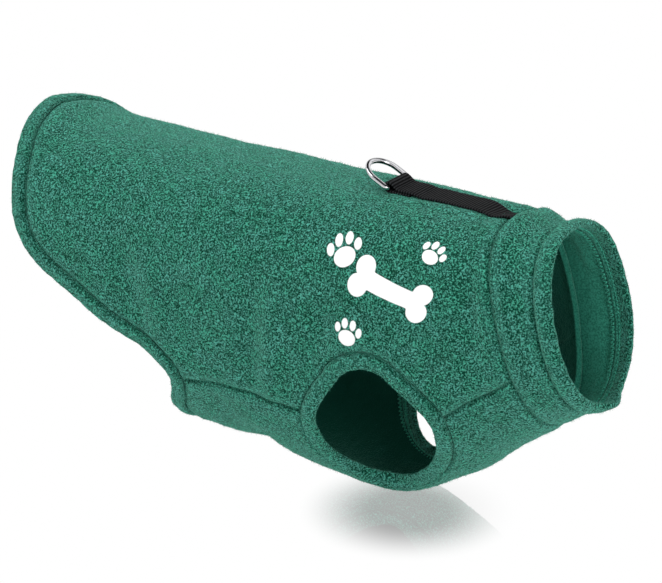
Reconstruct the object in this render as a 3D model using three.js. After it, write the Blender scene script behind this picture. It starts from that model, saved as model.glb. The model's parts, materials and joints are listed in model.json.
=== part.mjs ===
// A dog's fleece winter coat, filled out as it is when worn, with nobody in it
//
// Millimetres. +X runs from the tail to the head, +Y to the dog's left, +Z up.
// The origin is on the inner face of the back cloth, above the withers.
// A place on the cloth is (x, phi): the station of a cross-section along the coat,
// and the angle round it from the spine (0) over the right flank to the belly (180).

import * as THREE from 'three';

// Cloth and sewing
const WALL = 2.0; // one layer of fleece
const SEAM_GAP = 0.3; // between two pieces where they are sewn
const BAND_WIDTH = 10; // finished width of the folded edge bands
const EDGE = SEAM_GAP / 2; // how far each piece stays back from the seam line
const MM_PER_DEGREE = 1.4; // girth covered by one degree of phi, on average

// Stations along the coat
const NECK_SEAM = 70;
const COLLAR_SEAM = 94;
const COLLAR_RIM = COLLAR_SEAM + BAND_WIDTH + EDGE;
const HEM_CORNER = -145; // where the side seam runs into the hem

// Steps of the surface along each edge
const COUNTS = {
  rear: 11,
  upperArc: 18,
  lowerArc: 22,
  front: 5,
  backColumns: 17,
  chestColumns: 8,
  neck: 48,
};

// Leash point
const WEBBING = { width: 20, thick: 1.6, front: 49, rise: 1, dip: 1, doubled: 24 };
const RING = { wire: 3.0, inside: 20.6, height: 22.3, corner: 2.0, leanBack: 63 };
const RING_CLEARANCE = 0.4; // between its bar and the webbing round it
const BAR_X = -29.3;

// Cross-sections: height of spine and keel, half width, lean towards the tail in degrees,
// and the powers of the rounded outline above and below
const SECTIONS = [
  { x: -292, top: 10.5, bottom: -147, half: 71.5, lean: 0, crown: 2.2, keel: 2.1 },
  { x: -255, top: 4.5, bottom: -155, half: 69.5, lean: 0, crown: 2.7, keel: 2.1 },
  { x: -200, top: 2, bottom: -167, half: 69, lean: 0, crown: 2.7, keel: 2.1 },
  { x: -140, top: 1, bottom: -175, half: 69, lean: 1, crown: 2.75, keel: 2.1 },
  { x: -80, top: 1, bottom: -183, half: 68, lean: 2, crown: 2.75, keel: 2.0 },
  { x: -30, top: 2, bottom: -188.3, half: 65, lean: 5, crown: 2.75, keel: 1.95 },
  { x: 20, top: 2.8, bottom: -162.3, half: 58, lean: 10, crown: 2.7, keel: 2.0 },
  { x: 45, top: 2.8, bottom: -139.5, half: 53, lean: 13.5, crown: 2.7, keel: 2.05 },
  { x: 70, top: 3.5, bottom: -119, half: 48, lean: 17, crown: 2.6, keel: 2.1 },
  { x: 76, top: 4, bottom: -114.8, half: 47.5, lean: 17, crown: 2.5, keel: 2.1 },
  { x: 87, top: -0.5, bottom: -108.5, half: 45.6, lean: 16.2, crown: 2.4, keel: 2.1 },
  { x: 105, top: 4.8, bottom: -97.5, half: 43.6, lean: 14.6, crown: 2.25, keel: 2.1 },
];

// Station of the hem seam round the coat: short under the belly, long over the tail
const HEM = [
  { phi: 0, x: -283 },
  { phi: 20, x: -279.5 },
  { phi: 43, x: -272 },
  { phi: 61, x: -265.5 },
  { phi: 70, x: -261 },
  { phi: 78, x: -253 },
  { phi: 84, x: -239.5 },
  { phi: 87, x: -226 },
  { phi: 90, x: -209 },
  { phi: 94, x: -187 },
  { phi: 99, x: -164 },
  { phi: 104, x: -150.5 },
  { phi: 109, x: -146 },
  { phi: 116, x: -145 },
  { phi: 125, x: -149 },
  { phi: 143, x: -158 },
  { phi: 180, x: -163 },
];

// Angle of the seam between back and chest, behind the leg and in front of it
const SIDE_SEAM = [
  { x: -146, phi: 115.5 },
  { x: -130, phi: 112 },
  { x: -113, phi: 109.8 },
  { x: -96, phi: 109.4 },
  { x: -50, phi: 109.4 },
];
const FRONT_SEAM = [
  { x: 25, phi: 116.5 },
  { x: 42, phi: 113.5 },
  { x: 60, phi: 111.7 },
  { x: 72, phi: 108.5 },
];

// Outline of the armhole seam: two half ovals, one above the widest line and one below
const ARMHOLE = { x: -12.5, phi: 119, halfLength: 44.5, above: 34, below: 39 };

// Largest folds and swells of the cloth: middle, direction from the X axis in degrees,
// half length, half width and height in mm (troughs are negative), right side then left
const FOLDS = [
  { x: -175, phi: 87, turn: 62, long: 34, wide: 11, high: -2.4 },
  { x: -158, phi: 92, turn: 62, long: 34, wide: 11, high: 1.8 },
  { x: -89, phi: 89, turn: 95, long: 24, wide: 8, high: -1.8 },
  { x: -75, phi: 89, turn: 95, long: 26, wide: 8, high: 1.8 },
  { x: -41, phi: 83, turn: 118, long: 18, wide: 8, high: -1.6 },
  { x: 56, phi: 77, turn: 100, long: 26, wide: 8, high: -1.8 },
  { x: 67, phi: 60, turn: 92, long: 45, wide: 5, high: 1.2 },
  { x: 81, phi: 50, turn: 78, long: 32, wide: 5, high: -1.4 },
  { x: 60, phi: 0, turn: 90, long: 14, wide: 11, high: -3 },
  { x: -108, phi: 150, turn: 90, long: 34, wide: 16, high: -4 },
  { x: -108, phi: -150, turn: 90, long: 34, wide: 16, high: -4 },
  { x: -98, phi: 126, turn: -58, long: 18, wide: 8, high: 1.8 },
  { x: -124, phi: 126, turn: -58, long: 18, wide: 11, high: -2.4 },
  { x: -181, phi: -85, turn: -58, long: 38, wide: 12, high: -2.0 },
  { x: -160, phi: -93, turn: -64, long: 30, wide: 11, high: 1.8 },
  { x: -84, phi: -90, turn: -92, long: 28, wide: 9, high: -1.9 },
  { x: -66, phi: -84, turn: -85, long: 22, wide: 9, high: 1.6 },
  { x: 52, phi: -80, turn: -98, long: 28, wide: 9, high: -1.7 },
  { x: 79, phi: -54, turn: -80, long: 30, wide: 5, high: -1.3 },
  { x: -108, phi: -128, turn: 60, long: 20, wide: 10, high: 1.9 },
];

// Pinch at the throat, where the front of the collar is drawn into a short spout
const SPOUT = { from: 86, forward: 6, drop: 3, spread: 7 };

// Folded band in section: how far across it and how high above the cloth, as fractions
const BAND_PROFILE = [
  { across: 0, out: 0 },
  { across: 0.25, out: 0.75 },
  { across: 0.6, out: 0.9 },
  { across: 0.88, out: 0.45 },
  { across: 1, out: -0.9 },
  { across: 0.88, out: -2.3 },
  { across: 0.6, out: -2.8 },
  { across: 0.25, out: -2.65 },
  { across: 0, out: -2.0 },
];

const degrees = THREE.MathUtils.degToRad;
const fleece = { color: 0x2c6e5c, roughness: 0.95, metalness: 0 };
const webbing = { color: 0x1c1d1f, roughness: 0.75, metalness: 0 };
const chrome = { color: 0xc9ccd0, roughness: 0.15, metalness: 1 };

// A smooth monotone curve through a table's rows: returns value(key)
function curveThrough(rows, key, value) {
  const at = rows.map((row) => row[key]);
  const is = rows.map((row) => row[value]);
  const step = at.slice(1).map((a, i) => a - at[i]);
  const rise = is.slice(1).map((v, i) => (v - is[i]) / step[i]);
  const slope = is.map((_, i) => {
    if (i === 0 || i === is.length - 1) return rise[Math.min(i, rise.length - 1)];
    if (rise[i - 1] * rise[i] <= 0) return 0;
    const before = 2 * step[i] + step[i - 1];
    const after = step[i] + 2 * step[i - 1];
    return (before + after) / (before / rise[i - 1] + after / rise[i]);
  });
  return (k) => {
    const x = Math.min(Math.max(k, at[0]), at[at.length - 1]);
    let i = 0;
    while (i < step.length - 1 && x > at[i + 1]) i += 1;
    const t = (x - at[i]) / step[i];
    const ease = t * t * (3 - 2 * t);
    const lead = t * (1 - t) * (1 - t) * slope[i] - t * t * (1 - t) * slope[i + 1];
    return is[i] * (1 - ease) + is[i + 1] * ease + lead * step[i];
  };
}

const topAt = curveThrough(SECTIONS, 'x', 'top');
const bottomAt = curveThrough(SECTIONS, 'x', 'bottom');
const halfAt = curveThrough(SECTIONS, 'x', 'half');
const leanAt = curveThrough(SECTIONS, 'x', 'lean');
const crownAt = curveThrough(SECTIONS, 'x', 'crown');
const keelAt = curveThrough(SECTIONS, 'x', 'keel');
const hemAt = curveThrough(HEM, 'phi', 'x');
const sideSeamAt = curveThrough(SIDE_SEAM, 'x', 'phi');
const frontSeamAt = curveThrough(FRONT_SEAM, 'x', 'phi');

const signedPower = (v, p) => Math.sign(v) * Math.abs(v) ** p;
const wrap = (phi) => phi - 360 * Math.round(phi / 360);

// Smooth form of the coat's outer face, before folds
function form(x, phi) {
  const s = Math.sin(degrees(phi));
  const c = Math.cos(degrees(phi));
  const lean = degrees(leanAt(x));
  const height = (topAt(x) - bottomAt(x)) / 2 / Math.cos(lean);
  const blend = 0.5 + 0.5 * Math.min(Math.max(2 * c, -1), 1);
  const power = 2 / (keelAt(x) + (crownAt(x) - keelAt(x)) * blend);
  const up = height * signedPower(c, power);
  const pinch = Math.exp(-(((180 - Math.abs(wrap(phi))) / SPOUT.spread) ** 2));
  const ramp = pinch * Math.max((x - SPOUT.from) / (COLLAR_RIM - SPOUT.from), 0) ** 2;
  return new THREE.Vector3(
    x - up * Math.sin(lean) + SPOUT.forward * ramp,
    -halfAt(x) * signedPower(s, power),
    (topAt(x) + bottomAt(x)) / 2 + up * Math.cos(lean) - SPOUT.drop * ramp,
  );
}

// Direction straight out of the cloth
function outward(x, phi) {
  const along = form(x + 0.5, phi).sub(form(x - 0.5, phi));
  const round = form(x, phi + 0.6).sub(form(x, phi - 0.6));
  return round.cross(along).normalize();
}

// Height of all folds at a place
function foldHeight(x, phi) {
  return FOLDS.reduce((sum, fold) => {
    const dx = x - fold.x;
    const dy = wrap(phi - fold.phi) * MM_PER_DEGREE;
    const cos = Math.cos(degrees(fold.turn));
    const sin = Math.sin(degrees(fold.turn));
    const along = (dx * cos + dy * sin) / fold.long;
    const across = (dy * cos - dx * sin) / fold.wide;
    return sum + fold.high * Math.exp(-along * along - across * across);
  }, 0);
}

// Point on the coat, a distance out from the outer face of the cloth
function onCoat(x, phi, out = 0) {
  const lift = foldHeight(x, phi) + out;
  return form(x, phi).addScaledVector(outward(x, phi), lift);
}

// Point of the armhole seam at a turn round it, moved out from its middle by grow mm
function armholeEdge(turn, grow) {
  const down = Math.sin(degrees(turn));
  const tall = (down < 0 ? ARMHOLE.above : ARMHOLE.below) + grow / MM_PER_DEGREE;
  return {
    x: ARMHOLE.x + (ARMHOLE.halfLength + grow) * Math.cos(degrees(turn)),
    phi: ARMHOLE.phi + tall * down,
  };
}

const mix = (a, b, t) => a + (b - a) * t;

// Even steps from a to b
const steps = (a, b, count) =>
  Array.from({ length: count + 1 }, (_, i) => mix(a, b, i / count));

// Values of t from 0 to 1 that cut a curve into a count of equal lengths
function evenly(curveAt, count) {
  const fine = 360;
  const points = steps(0, 1, fine).map(curveAt);
  const length = [0];
  for (let i = 1; i <= fine; i += 1) {
    length.push(length[i - 1] + points[i].distanceTo(points[i - 1]));
  }
  let i = 0;
  return steps(0, length[fine], count).map((goal) => {
    while (i < fine - 1 && length[i + 1] < goal) i += 1;
    return (i + (goal - length[i]) / (length[i + 1] - length[i])) / fine;
  });
}

// Turns of the armhole outline at which the side seam and the front seam run into it
const turnAt = (phi) => Math.asin((phi - ARMHOLE.phi) / ARMHOLE.above) / degrees(1);
const REAR_TURN = 180 - turnAt(sideSeamAt(ARMHOLE.x - ARMHOLE.halfLength));
const FRONT_TURN = 360 + turnAt(frontSeamAt(ARMHOLE.x + ARMHOLE.halfLength));
const upperTurns = steps(REAR_TURN, FRONT_TURN, COUNTS.upperArc);
const lowerTurns = steps(REAR_TURN, FRONT_TURN - 360, COUNTS.lowerArc);

// Columns of each half panel, from its middle line (0) to its long edge (1)
const CORNER = sideSeamAt(HEM_CORNER);
const hemPoint = (phi) => form(hemAt(phi), phi);
const backColumns = evenly((t) => hemPoint(mix(0, CORNER, t)), COUNTS.backColumns);
const chestColumns = evenly((t) => hemPoint(mix(180, CORNER, t)), COUNTS.chestColumns);

// Long edge of a panel from hem to neck: side seam, round the armhole, front seam
function panelEdge(side, turns) {
  const shift = (side * EDGE) / MM_PER_DEGREE;
  const arc = turns.map((turn) => armholeEdge(turn, EDGE));
  const seam = (from, to, count, phiAt) =>
    steps(from, to, count).map((x) => ({ x, phi: phiAt(x) + shift }));
  const rear = seam(hemAt(CORNER) + EDGE, arc[0].x, COUNTS.rear, sideSeamAt);
  const last = arc[arc.length - 1];
  const front = seam(last.x, NECK_SEAM - EDGE, COUNTS.front, frontSeamAt);
  return [...rear.slice(0, -1), ...arc, ...front.slice(1)];
}

// Station of the hem seam moved forward by EDGE, square to the seam
function hemInside(phi) {
  const slope = (hemAt(phi + 1) - hemAt(phi - 1)) / 2 / MM_PER_DEGREE;
  return hemAt(phi) + EDGE * Math.hypot(1, slope);
}

// Grid of places over a whole panel, blended between its edges and mirrored
function panelGrid(edge, middlePhi, columns) {
  const neck = NECK_SEAM - EDGE;
  const tail = hemInside(middlePhi);
  return edge.map((end, i) => {
    const u = i / (edge.length - 1);
    const half = columns.map((v) => {
      const hemPhi = mix(middlePhi, CORNER, v);
      const bow = hemInside(hemPhi) - mix(tail, hemInside(CORNER), v);
      const x = mix(mix(tail, neck, u), end.x, v) + (1 - u) * bow;
      return { x, phi: mix(middlePhi, end.phi, v) };
    });
    const other = half.slice(1).map(({ x, phi }) => ({ x, phi: 2 * middlePhi - phi }));
    return [...other.reverse(), ...half];
  });
}

// Closed mesh from points and triangles, turned so that its faces point out
function solid(points, triangles) {
  const volume = triangles.reduce((sum, [a, b, c]) => {
    const cross = points[b].clone().cross(points[c]);
    return sum + points[a].dot(cross);
  }, 0);
  const index = triangles.flatMap(([a, b, c]) => (volume > 0 ? [a, b, c] : [a, c, b]));
  const geometry = new THREE.BufferGeometry().setFromPoints(points);
  geometry.setIndex(index);
  geometry.computeVertexNormals();
  return geometry;
}

const quad = (a, b, c, d) => [[a, b, c], [a, c, d]];

// Closed body from rings of points that join up both ways, like a tyre
function loopSolid(rings) {
  const count = rings[0].length;
  const triangles = rings.flatMap((ring, i) => {
    const here = i * count;
    const next = ((i + 1) % rings.length) * count;
    return ring.flatMap((_, j) => {
      const k = (j + 1) % count;
      return quad(here + j, here + k, next + k, next + j);
    });
  });
  return solid(rings.flat(), triangles);
}

// Closed wall from a grid of places: outer face, inner face and the cut edges
function panelSolid(grid) {
  const rings = grid.map((row) => [
    ...row.map(({ x, phi }) => onCoat(x, phi)),
    ...row.map(({ x, phi }) => onCoat(x, phi, -WALL)).reverse(),
  ]);
  const width = grid[0].length;
  const count = 2 * width;
  const triangles = rings.slice(1).flatMap((ring, i) => {
    const here = i * count;
    return ring.flatMap((_, j) => {
      const k = (j + 1) % count;
      return quad(here + j, here + k, here + count + k, here + count + j);
    });
  });
  const last = (rings.length - 1) * count;
  for (let j = 0; j < width - 1; j += 1) {
    const back = count - 1 - j;
    triangles.push(...quad(j, back, back - 1, j + 1));
    triangles.push(...quad(last + j, last + j + 1, last + back - 1, last + back));
  }
  return solid(rings.flat(), triangles);
}

// Folded band on a closed seam: seamAt gives the place for each turn round it, side
// tells which side of the seam the band is on, and upright how far it stands up from
// the cloth's own slope
function bandSolid(seamAt, turns, side, upright) {
  const pointAt = (turn) => {
    const { x, phi } = seamAt(turn);
    return onCoat(x, phi);
  };
  const rings = turns.map((turn) => {
    const { x, phi } = seamAt(turn);
    const start = onCoat(x, phi);
    const tangent = pointAt(turn + 1).sub(pointAt(turn - 1)).normalize();
    const cloth = outward(x, phi);
    const face = cloth.clone().setZ(cloth.z * (1 - upright)).normalize();
    const across = tangent.clone().cross(face).normalize().multiplyScalar(side);
    return BAND_PROFILE.map((row) => {
      const way = cloth.clone().lerp(face, Math.min(2 * row.across, 1)).normalize();
      const far = EDGE + row.across * BAND_WIDTH;
      return start.clone().addScaledVector(across, far).addScaledVector(way, row.out);
    });
  });
  return loopSolid(rings);
}

// Tube of cloth round the neck between two stations: profile rows are { x, out }
function neckSolid(profile, count) {
  const around = evenly((t) => onCoat(profile[0].x, 360 * t - 180), count).slice(1);
  const rings = around.map((t) =>
    profile.map(({ x, out }) => onCoat(x, 360 * t - 180, out)),
  );
  return loopSolid(rings);
}

function collarSolid() {
  const stations = steps(NECK_SEAM + EDGE, COLLAR_SEAM - EDGE, 5);
  const outer = stations.map((x) => ({ x, out: 0 }));
  const inner = stations.map((x) => ({ x, out: -WALL })).reverse();
  return neckSolid([...outer, ...inner], COUNTS.neck);
}

function collarBandSolid() {
  const profile = BAND_PROFILE.map(({ across, out }) => ({
    x: COLLAR_SEAM + EDGE + across * BAND_WIDTH,
    out,
  }));
  return neckSolid(profile, COUNTS.neck);
}

// Webbing seen from its side: along the spine, doubled back on itself round the bar,
// with its front end dipping into the neck seam
const LOOP_INSIDE = RING.wire / 2 + RING_CLEARANCE;
const BAR_Z = WALL + SEAM_GAP + WEBBING.thick + LOOP_INSIDE;

function strapSolid() {
  const low = WALL + SEAM_GAP;
  const high = low + WEBBING.thick;
  const outer = LOOP_INSIDE + WEBBING.thick;
  const doubled = BAR_X + WEBBING.doubled;
  const crest = 15;
  const bend = WEBBING.front - 12;
  const lift = (x) => WEBBING.rise * Math.min((x - BAR_X) / (crest - BAR_X), 1);
  const twice = (x) => high + WEBBING.thick + lift(x);
  const outline = new THREE.Shape();
  outline.moveTo(WEBBING.front, low + WEBBING.rise - WEBBING.dip);
  outline.quadraticCurveTo(bend + 5, low + WEBBING.rise, bend, low + WEBBING.rise);
  outline.lineTo(crest, low + WEBBING.rise);
  outline.lineTo(BAR_X, low);
  outline.absarc(BAR_X, BAR_Z, outer, degrees(270), degrees(45), true);
  const meet = BAR_X + outer + 4;
  outline.quadraticCurveTo(meet - 3, twice(meet), meet, twice(meet));
  outline.lineTo(doubled, twice(doubled));
  outline.lineTo(doubled + 2, high + lift(doubled + 2));
  outline.lineTo(crest, high + WEBBING.rise);
  outline.lineTo(bend, high + WEBBING.rise);
  const end = high + WEBBING.rise - WEBBING.dip;
  outline.quadraticCurveTo(bend + 5, high + WEBBING.rise, WEBBING.front, end);
  outline.closePath();
  const hole = new THREE.Path();
  hole.absarc(BAR_X, BAR_Z, LOOP_INSIDE, 0, degrees(360));
  outline.holes.push(hole);
  const geometry = new THREE.ExtrudeGeometry(outline, {
    depth: WEBBING.width,
    bevelEnabled: false,
    curveSegments: 9,
  });
  geometry.rotateX(Math.PI / 2);
  geometry.translate(0, WEBBING.width / 2, 0);
  return geometry;
}

// Middle line of the ring's wire: a straight bar, rounded corners and a round bow
function ringPath() {
  const half = (RING.inside + RING.wire) / 2;
  const bow = RING.height - RING.wire / 2 - half;
  const path = new THREE.Path();
  path.moveTo(-half + RING.corner, 0);
  path.lineTo(half - RING.corner, 0);
  path.absarc(half - RING.corner, RING.corner, RING.corner, degrees(-90), 0);
  path.absarc(0, bow, half, 0, degrees(180));
  path.absarc(RING.corner - half, RING.corner, RING.corner, degrees(180), degrees(270));
  return path;
}

// Ring in its own frame: bar along Y at the origin, bow up
function ringSolid() {
  const outline = ringPath().getPoints(7).slice(0, -1);
  const sides = 8;
  const rings = outline.map((point, i) => {
    const after = outline[(i + 1) % outline.length];
    const before = outline[(i + outline.length - 1) % outline.length];
    const into = point.clone().sub(before).normalize();
    const away = after.clone().sub(point).normalize();
    const tangent = into.add(away).normalize();
    const side = new THREE.Vector3(0, -tangent.y, tangent.x);
    return Array.from({ length: sides }, (_, k) => {
      const angle = degrees((360 * k) / sides);
      return new THREE.Vector3(0, point.x, point.y)
        .addScaledVector(side, (RING.wire / 2) * Math.cos(angle))
        .add(new THREE.Vector3((RING.wire / 2) * Math.sin(angle), 0, 0));
    });
  });
  return loopSolid(rings);
}

function mesh(name, geometry, finish) {
  const part = new THREE.Mesh(geometry, new THREE.MeshStandardMaterial(finish));
  part.name = name;
  return part;
}

const group = new THREE.Group();

// Back and chest panels
const backGrid = panelGrid(panelEdge(-1, upperTurns), 0, backColumns);
const chestGrid = panelGrid(panelEdge(1, lowerTurns), 180, chestColumns);
group.add(mesh('back_panel', panelSolid(backGrid), fleece));
group.add(mesh('chest_panel', panelSolid(chestGrid), fleece));

// Folded band round the hem
const hemSide = [
  ...backColumns.map((v) => mix(0, CORNER, v)),
  ...chestColumns.slice(0, -1).reverse().map((v) => mix(180, CORNER, v)),
];
const hemTurns = [...hemSide, ...hemSide.slice(1, -1).reverse().map((phi) => -phi)];
const hemSeam = (turn) => ({ x: hemAt(Math.abs(wrap(turn))), phi: turn });
group.add(mesh('hem_band', bandSolid(hemSeam, hemTurns, 1, 0), fleece));

// Folded bands round the armholes, the left one a mirror image of the right
const armTurns = [...upperTurns.slice(0, -1), ...lowerTurns.slice(1).reverse()];
const armSeam = (turn) => armholeEdge(turn, 0);
const mirrored = (turn) => ({ x: armSeam(turn).x, phi: -armSeam(turn).phi });
group.add(mesh('armhole_band_right', bandSolid(armSeam, armTurns, 1, 1), fleece));
group.add(mesh('armhole_band_left', bandSolid(mirrored, armTurns, -1, 1), fleece));

// Collar and the folded band round its rim
group.add(mesh('collar', collarSolid(), fleece));
group.add(mesh('collar_band', collarBandSolid(), fleece));

// Leash strap and its ring, which leans back on its bar
group.add(mesh('leash_strap', strapSolid(), webbing));
const ring = mesh('d_ring', ringSolid(), chrome);
ring.position.set(BAR_X, 0, BAR_Z);
ring.rotation.y = -degrees(RING.leanBack);
group.add(ring);

export default group;
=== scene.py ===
# %% [markdown]
# # A fleece winter coat for a small dog
# The coat stands filled out as if it were worn. It has seven pieces of fleece, a leash
# strap of webbing and a wire ring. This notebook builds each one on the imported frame, in
# the frame's own place and size, and then dresses them in cloth, webbing and chrome.
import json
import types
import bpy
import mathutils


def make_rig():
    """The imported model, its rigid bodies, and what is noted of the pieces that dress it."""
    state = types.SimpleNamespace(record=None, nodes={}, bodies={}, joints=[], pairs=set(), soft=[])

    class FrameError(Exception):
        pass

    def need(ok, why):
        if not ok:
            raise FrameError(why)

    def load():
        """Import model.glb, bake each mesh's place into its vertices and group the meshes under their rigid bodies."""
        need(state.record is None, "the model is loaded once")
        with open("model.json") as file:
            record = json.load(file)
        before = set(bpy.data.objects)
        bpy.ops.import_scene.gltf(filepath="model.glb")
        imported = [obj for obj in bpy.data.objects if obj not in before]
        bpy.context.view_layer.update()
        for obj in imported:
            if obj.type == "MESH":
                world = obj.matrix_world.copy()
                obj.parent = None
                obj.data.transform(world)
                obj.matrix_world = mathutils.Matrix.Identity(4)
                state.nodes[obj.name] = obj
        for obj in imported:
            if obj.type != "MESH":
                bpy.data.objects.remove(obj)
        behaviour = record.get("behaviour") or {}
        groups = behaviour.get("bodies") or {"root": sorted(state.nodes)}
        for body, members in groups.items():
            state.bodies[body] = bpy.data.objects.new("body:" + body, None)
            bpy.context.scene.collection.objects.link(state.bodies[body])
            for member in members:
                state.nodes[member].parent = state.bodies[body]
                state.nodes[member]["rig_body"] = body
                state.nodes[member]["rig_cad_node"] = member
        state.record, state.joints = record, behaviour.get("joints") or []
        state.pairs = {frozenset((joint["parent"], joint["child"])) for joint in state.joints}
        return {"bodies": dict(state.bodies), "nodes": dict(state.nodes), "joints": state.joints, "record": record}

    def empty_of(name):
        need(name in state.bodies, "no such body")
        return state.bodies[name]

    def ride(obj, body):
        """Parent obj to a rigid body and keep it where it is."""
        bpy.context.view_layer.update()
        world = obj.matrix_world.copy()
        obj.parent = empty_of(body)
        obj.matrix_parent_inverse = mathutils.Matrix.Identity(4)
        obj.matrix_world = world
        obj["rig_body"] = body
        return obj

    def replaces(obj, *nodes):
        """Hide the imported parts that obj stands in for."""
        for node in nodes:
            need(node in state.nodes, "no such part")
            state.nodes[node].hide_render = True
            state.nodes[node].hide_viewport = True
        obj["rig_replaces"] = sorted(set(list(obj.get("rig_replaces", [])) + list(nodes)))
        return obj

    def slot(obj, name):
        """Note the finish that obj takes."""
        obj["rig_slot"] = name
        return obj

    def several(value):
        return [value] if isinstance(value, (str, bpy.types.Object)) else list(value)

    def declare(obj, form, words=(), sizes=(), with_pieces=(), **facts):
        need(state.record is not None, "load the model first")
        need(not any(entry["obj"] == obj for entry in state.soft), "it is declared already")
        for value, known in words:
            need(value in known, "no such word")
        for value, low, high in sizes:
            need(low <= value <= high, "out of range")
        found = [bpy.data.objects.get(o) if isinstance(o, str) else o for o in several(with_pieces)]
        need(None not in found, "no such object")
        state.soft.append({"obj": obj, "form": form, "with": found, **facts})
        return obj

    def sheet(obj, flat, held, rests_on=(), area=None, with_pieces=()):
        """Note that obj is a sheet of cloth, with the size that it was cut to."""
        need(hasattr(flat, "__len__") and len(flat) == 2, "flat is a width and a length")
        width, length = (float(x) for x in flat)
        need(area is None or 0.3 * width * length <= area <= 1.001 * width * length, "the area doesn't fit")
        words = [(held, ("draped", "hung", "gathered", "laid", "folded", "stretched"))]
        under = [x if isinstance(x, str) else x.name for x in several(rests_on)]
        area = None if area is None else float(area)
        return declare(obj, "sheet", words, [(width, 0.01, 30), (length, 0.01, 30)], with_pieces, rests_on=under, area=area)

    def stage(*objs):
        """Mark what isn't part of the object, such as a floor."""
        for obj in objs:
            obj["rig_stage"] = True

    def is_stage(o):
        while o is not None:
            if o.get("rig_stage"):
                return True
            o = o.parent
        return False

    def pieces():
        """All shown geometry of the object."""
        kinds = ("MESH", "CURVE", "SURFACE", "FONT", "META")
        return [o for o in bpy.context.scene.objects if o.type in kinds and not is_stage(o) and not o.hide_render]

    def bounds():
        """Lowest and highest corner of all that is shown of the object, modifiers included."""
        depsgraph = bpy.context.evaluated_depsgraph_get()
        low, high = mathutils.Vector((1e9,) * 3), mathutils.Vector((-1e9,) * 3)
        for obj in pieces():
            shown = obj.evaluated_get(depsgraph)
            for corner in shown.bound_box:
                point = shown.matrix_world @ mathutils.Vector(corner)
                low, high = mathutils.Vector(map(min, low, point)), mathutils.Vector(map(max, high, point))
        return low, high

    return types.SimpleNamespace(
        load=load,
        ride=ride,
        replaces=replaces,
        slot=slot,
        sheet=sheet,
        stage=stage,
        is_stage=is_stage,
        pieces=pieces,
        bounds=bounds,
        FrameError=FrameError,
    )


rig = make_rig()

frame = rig.load()

import json
import math

import bpy
import numpy as np
from mathutils import Matrix, Vector

cad_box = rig.bounds()
MM = 0.001
scene = bpy.context.scene
print("frame box", [[round(v, 4) for v in corner] for corner in cad_box])

# %% [markdown]
# ## The camera
# A long lens, well back, stands to the right of the dog's nose and looks down a little. It
# is placed so that one known point, the middle of the ring's bar, falls on its own pixel.
# The lens follows from the distance and from how many pixels a millimetre covers there.

# %% Camera
IMAGE_SIZE = (662, 583)
AZIMUTH = 34.0
ELEVATION = 21.8
CAMERA_DISTANCE = 1.6
PIXELS_PER_METRE = 1700.0
BAR_PLACE = Vector((-0.029, 0.0, 0.005))
BAR_PIXEL = (398.0, 184.0)

az, el = math.radians(AZIMUTH), math.radians(ELEVATION)
backward = Vector((math.sin(az) * math.cos(el), -math.cos(az) * math.cos(el), math.sin(el)))
rightward = Vector((math.cos(az), math.sin(az), 0.0))
upward = backward.cross(rightward)
across = (BAR_PIXEL[0] - IMAGE_SIZE[0] / 2) / PIXELS_PER_METRE
above = (IMAGE_SIZE[1] / 2 - BAR_PIXEL[1]) / PIXELS_PER_METRE
target = BAR_PLACE - rightward * across - upward * above

camera = bpy.data.objects.new("camera", bpy.data.cameras.new("camera"))
scene.collection.objects.link(camera)
turned = Matrix((rightward, upward, backward)).transposed().to_4x4()
camera.matrix_world = Matrix.Translation(target + backward * CAMERA_DISTANCE) @ turned
camera.data.sensor_width = 36.0
camera.data.lens = 36.0 * PIXELS_PER_METRE * CAMERA_DISTANCE / IMAGE_SIZE[0]
camera.data.clip_end = 20.0
scene.camera = camera
print("camera", [round(v, 3) for v in camera.location], "lens", round(camera.data.lens, 1))

# %% [markdown]
# ## The form of the cloth
# A coat on a body is a bent tube. Here a place on it is a pair of numbers: x, the station
# of a cross-section, and phi, the angle round it from the spine over the right flank to the
# belly. A short table says how high, deep and wide each section is and how it leans. Every
# piece is cut from this one surface, so neighbouring pieces always meet.

# %% Tables of the form
SECTION_COLUMNS = ("x", "top", "bottom", "half", "lean", "crown", "keel")
SECTIONS = [
    (-292, 11.5, -147, 71.5, 0, 2.2, 2.1),
    (-275, 9, -150.5, 70.5, 0, 2.4, 2.1),
    (-255, 3.2, -155, 69.5, 0, 2.7, 2.1),
    (-200, 1.6, -167, 69, 0, 2.7, 2.1),
    (-140, 1, -175, 69, 1, 2.75, 2.1),
    (-80, 1, -183, 68, 2, 2.75, 2.0),
    (-30, 2, -188.3, 65, 5, 2.75, 1.95),
    (20, 2.8, -162.3, 58, 10, 2.7, 2.0),
    (45, 2.8, -139.5, 53, 13.5, 2.7, 2.05),
    (70, 3.5, -119, 48, 17, 2.6, 2.1),
    (76, 4, -114.8, 47.5, 17, 2.5, 2.1),
    (87, -0.5, -108.5, 45.6, 16.2, 2.4, 2.1),
    (105, 4.8, -97.5, 43.6, 14.6, 2.25, 2.1),
]
HEM_COLUMNS = ("phi", "x")
HEM = [
    (0, -283), (20, -277), (43, -268), (61, -263.5), (70, -261), (78, -254.5),
    (84, -242), (87, -228.5), (90, -211.5), (94, -189), (99, -165), (104, -150.5),
    (109, -145.8), (116, -144.6), (125, -147.6), (143, -157), (180, -163),
]
SEAM_COLUMNS = ("x", "phi")
SIDE_SEAM = [(-146, 115.5), (-130, 112), (-113, 109.8), (-96, 109.4), (-50, 109.4)]
FRONT_SEAM = [(25, 116.5), (42, 113.5), (60, 111.7), (72, 108.5)]
ARMHOLE = dict(x=-15.0, phi=119.3, half_length=44.5, above=34.5, below=39.0)
SPOUT = dict(start=86.0, forward=5.0, drop=2.0, spread=13.0)

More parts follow.
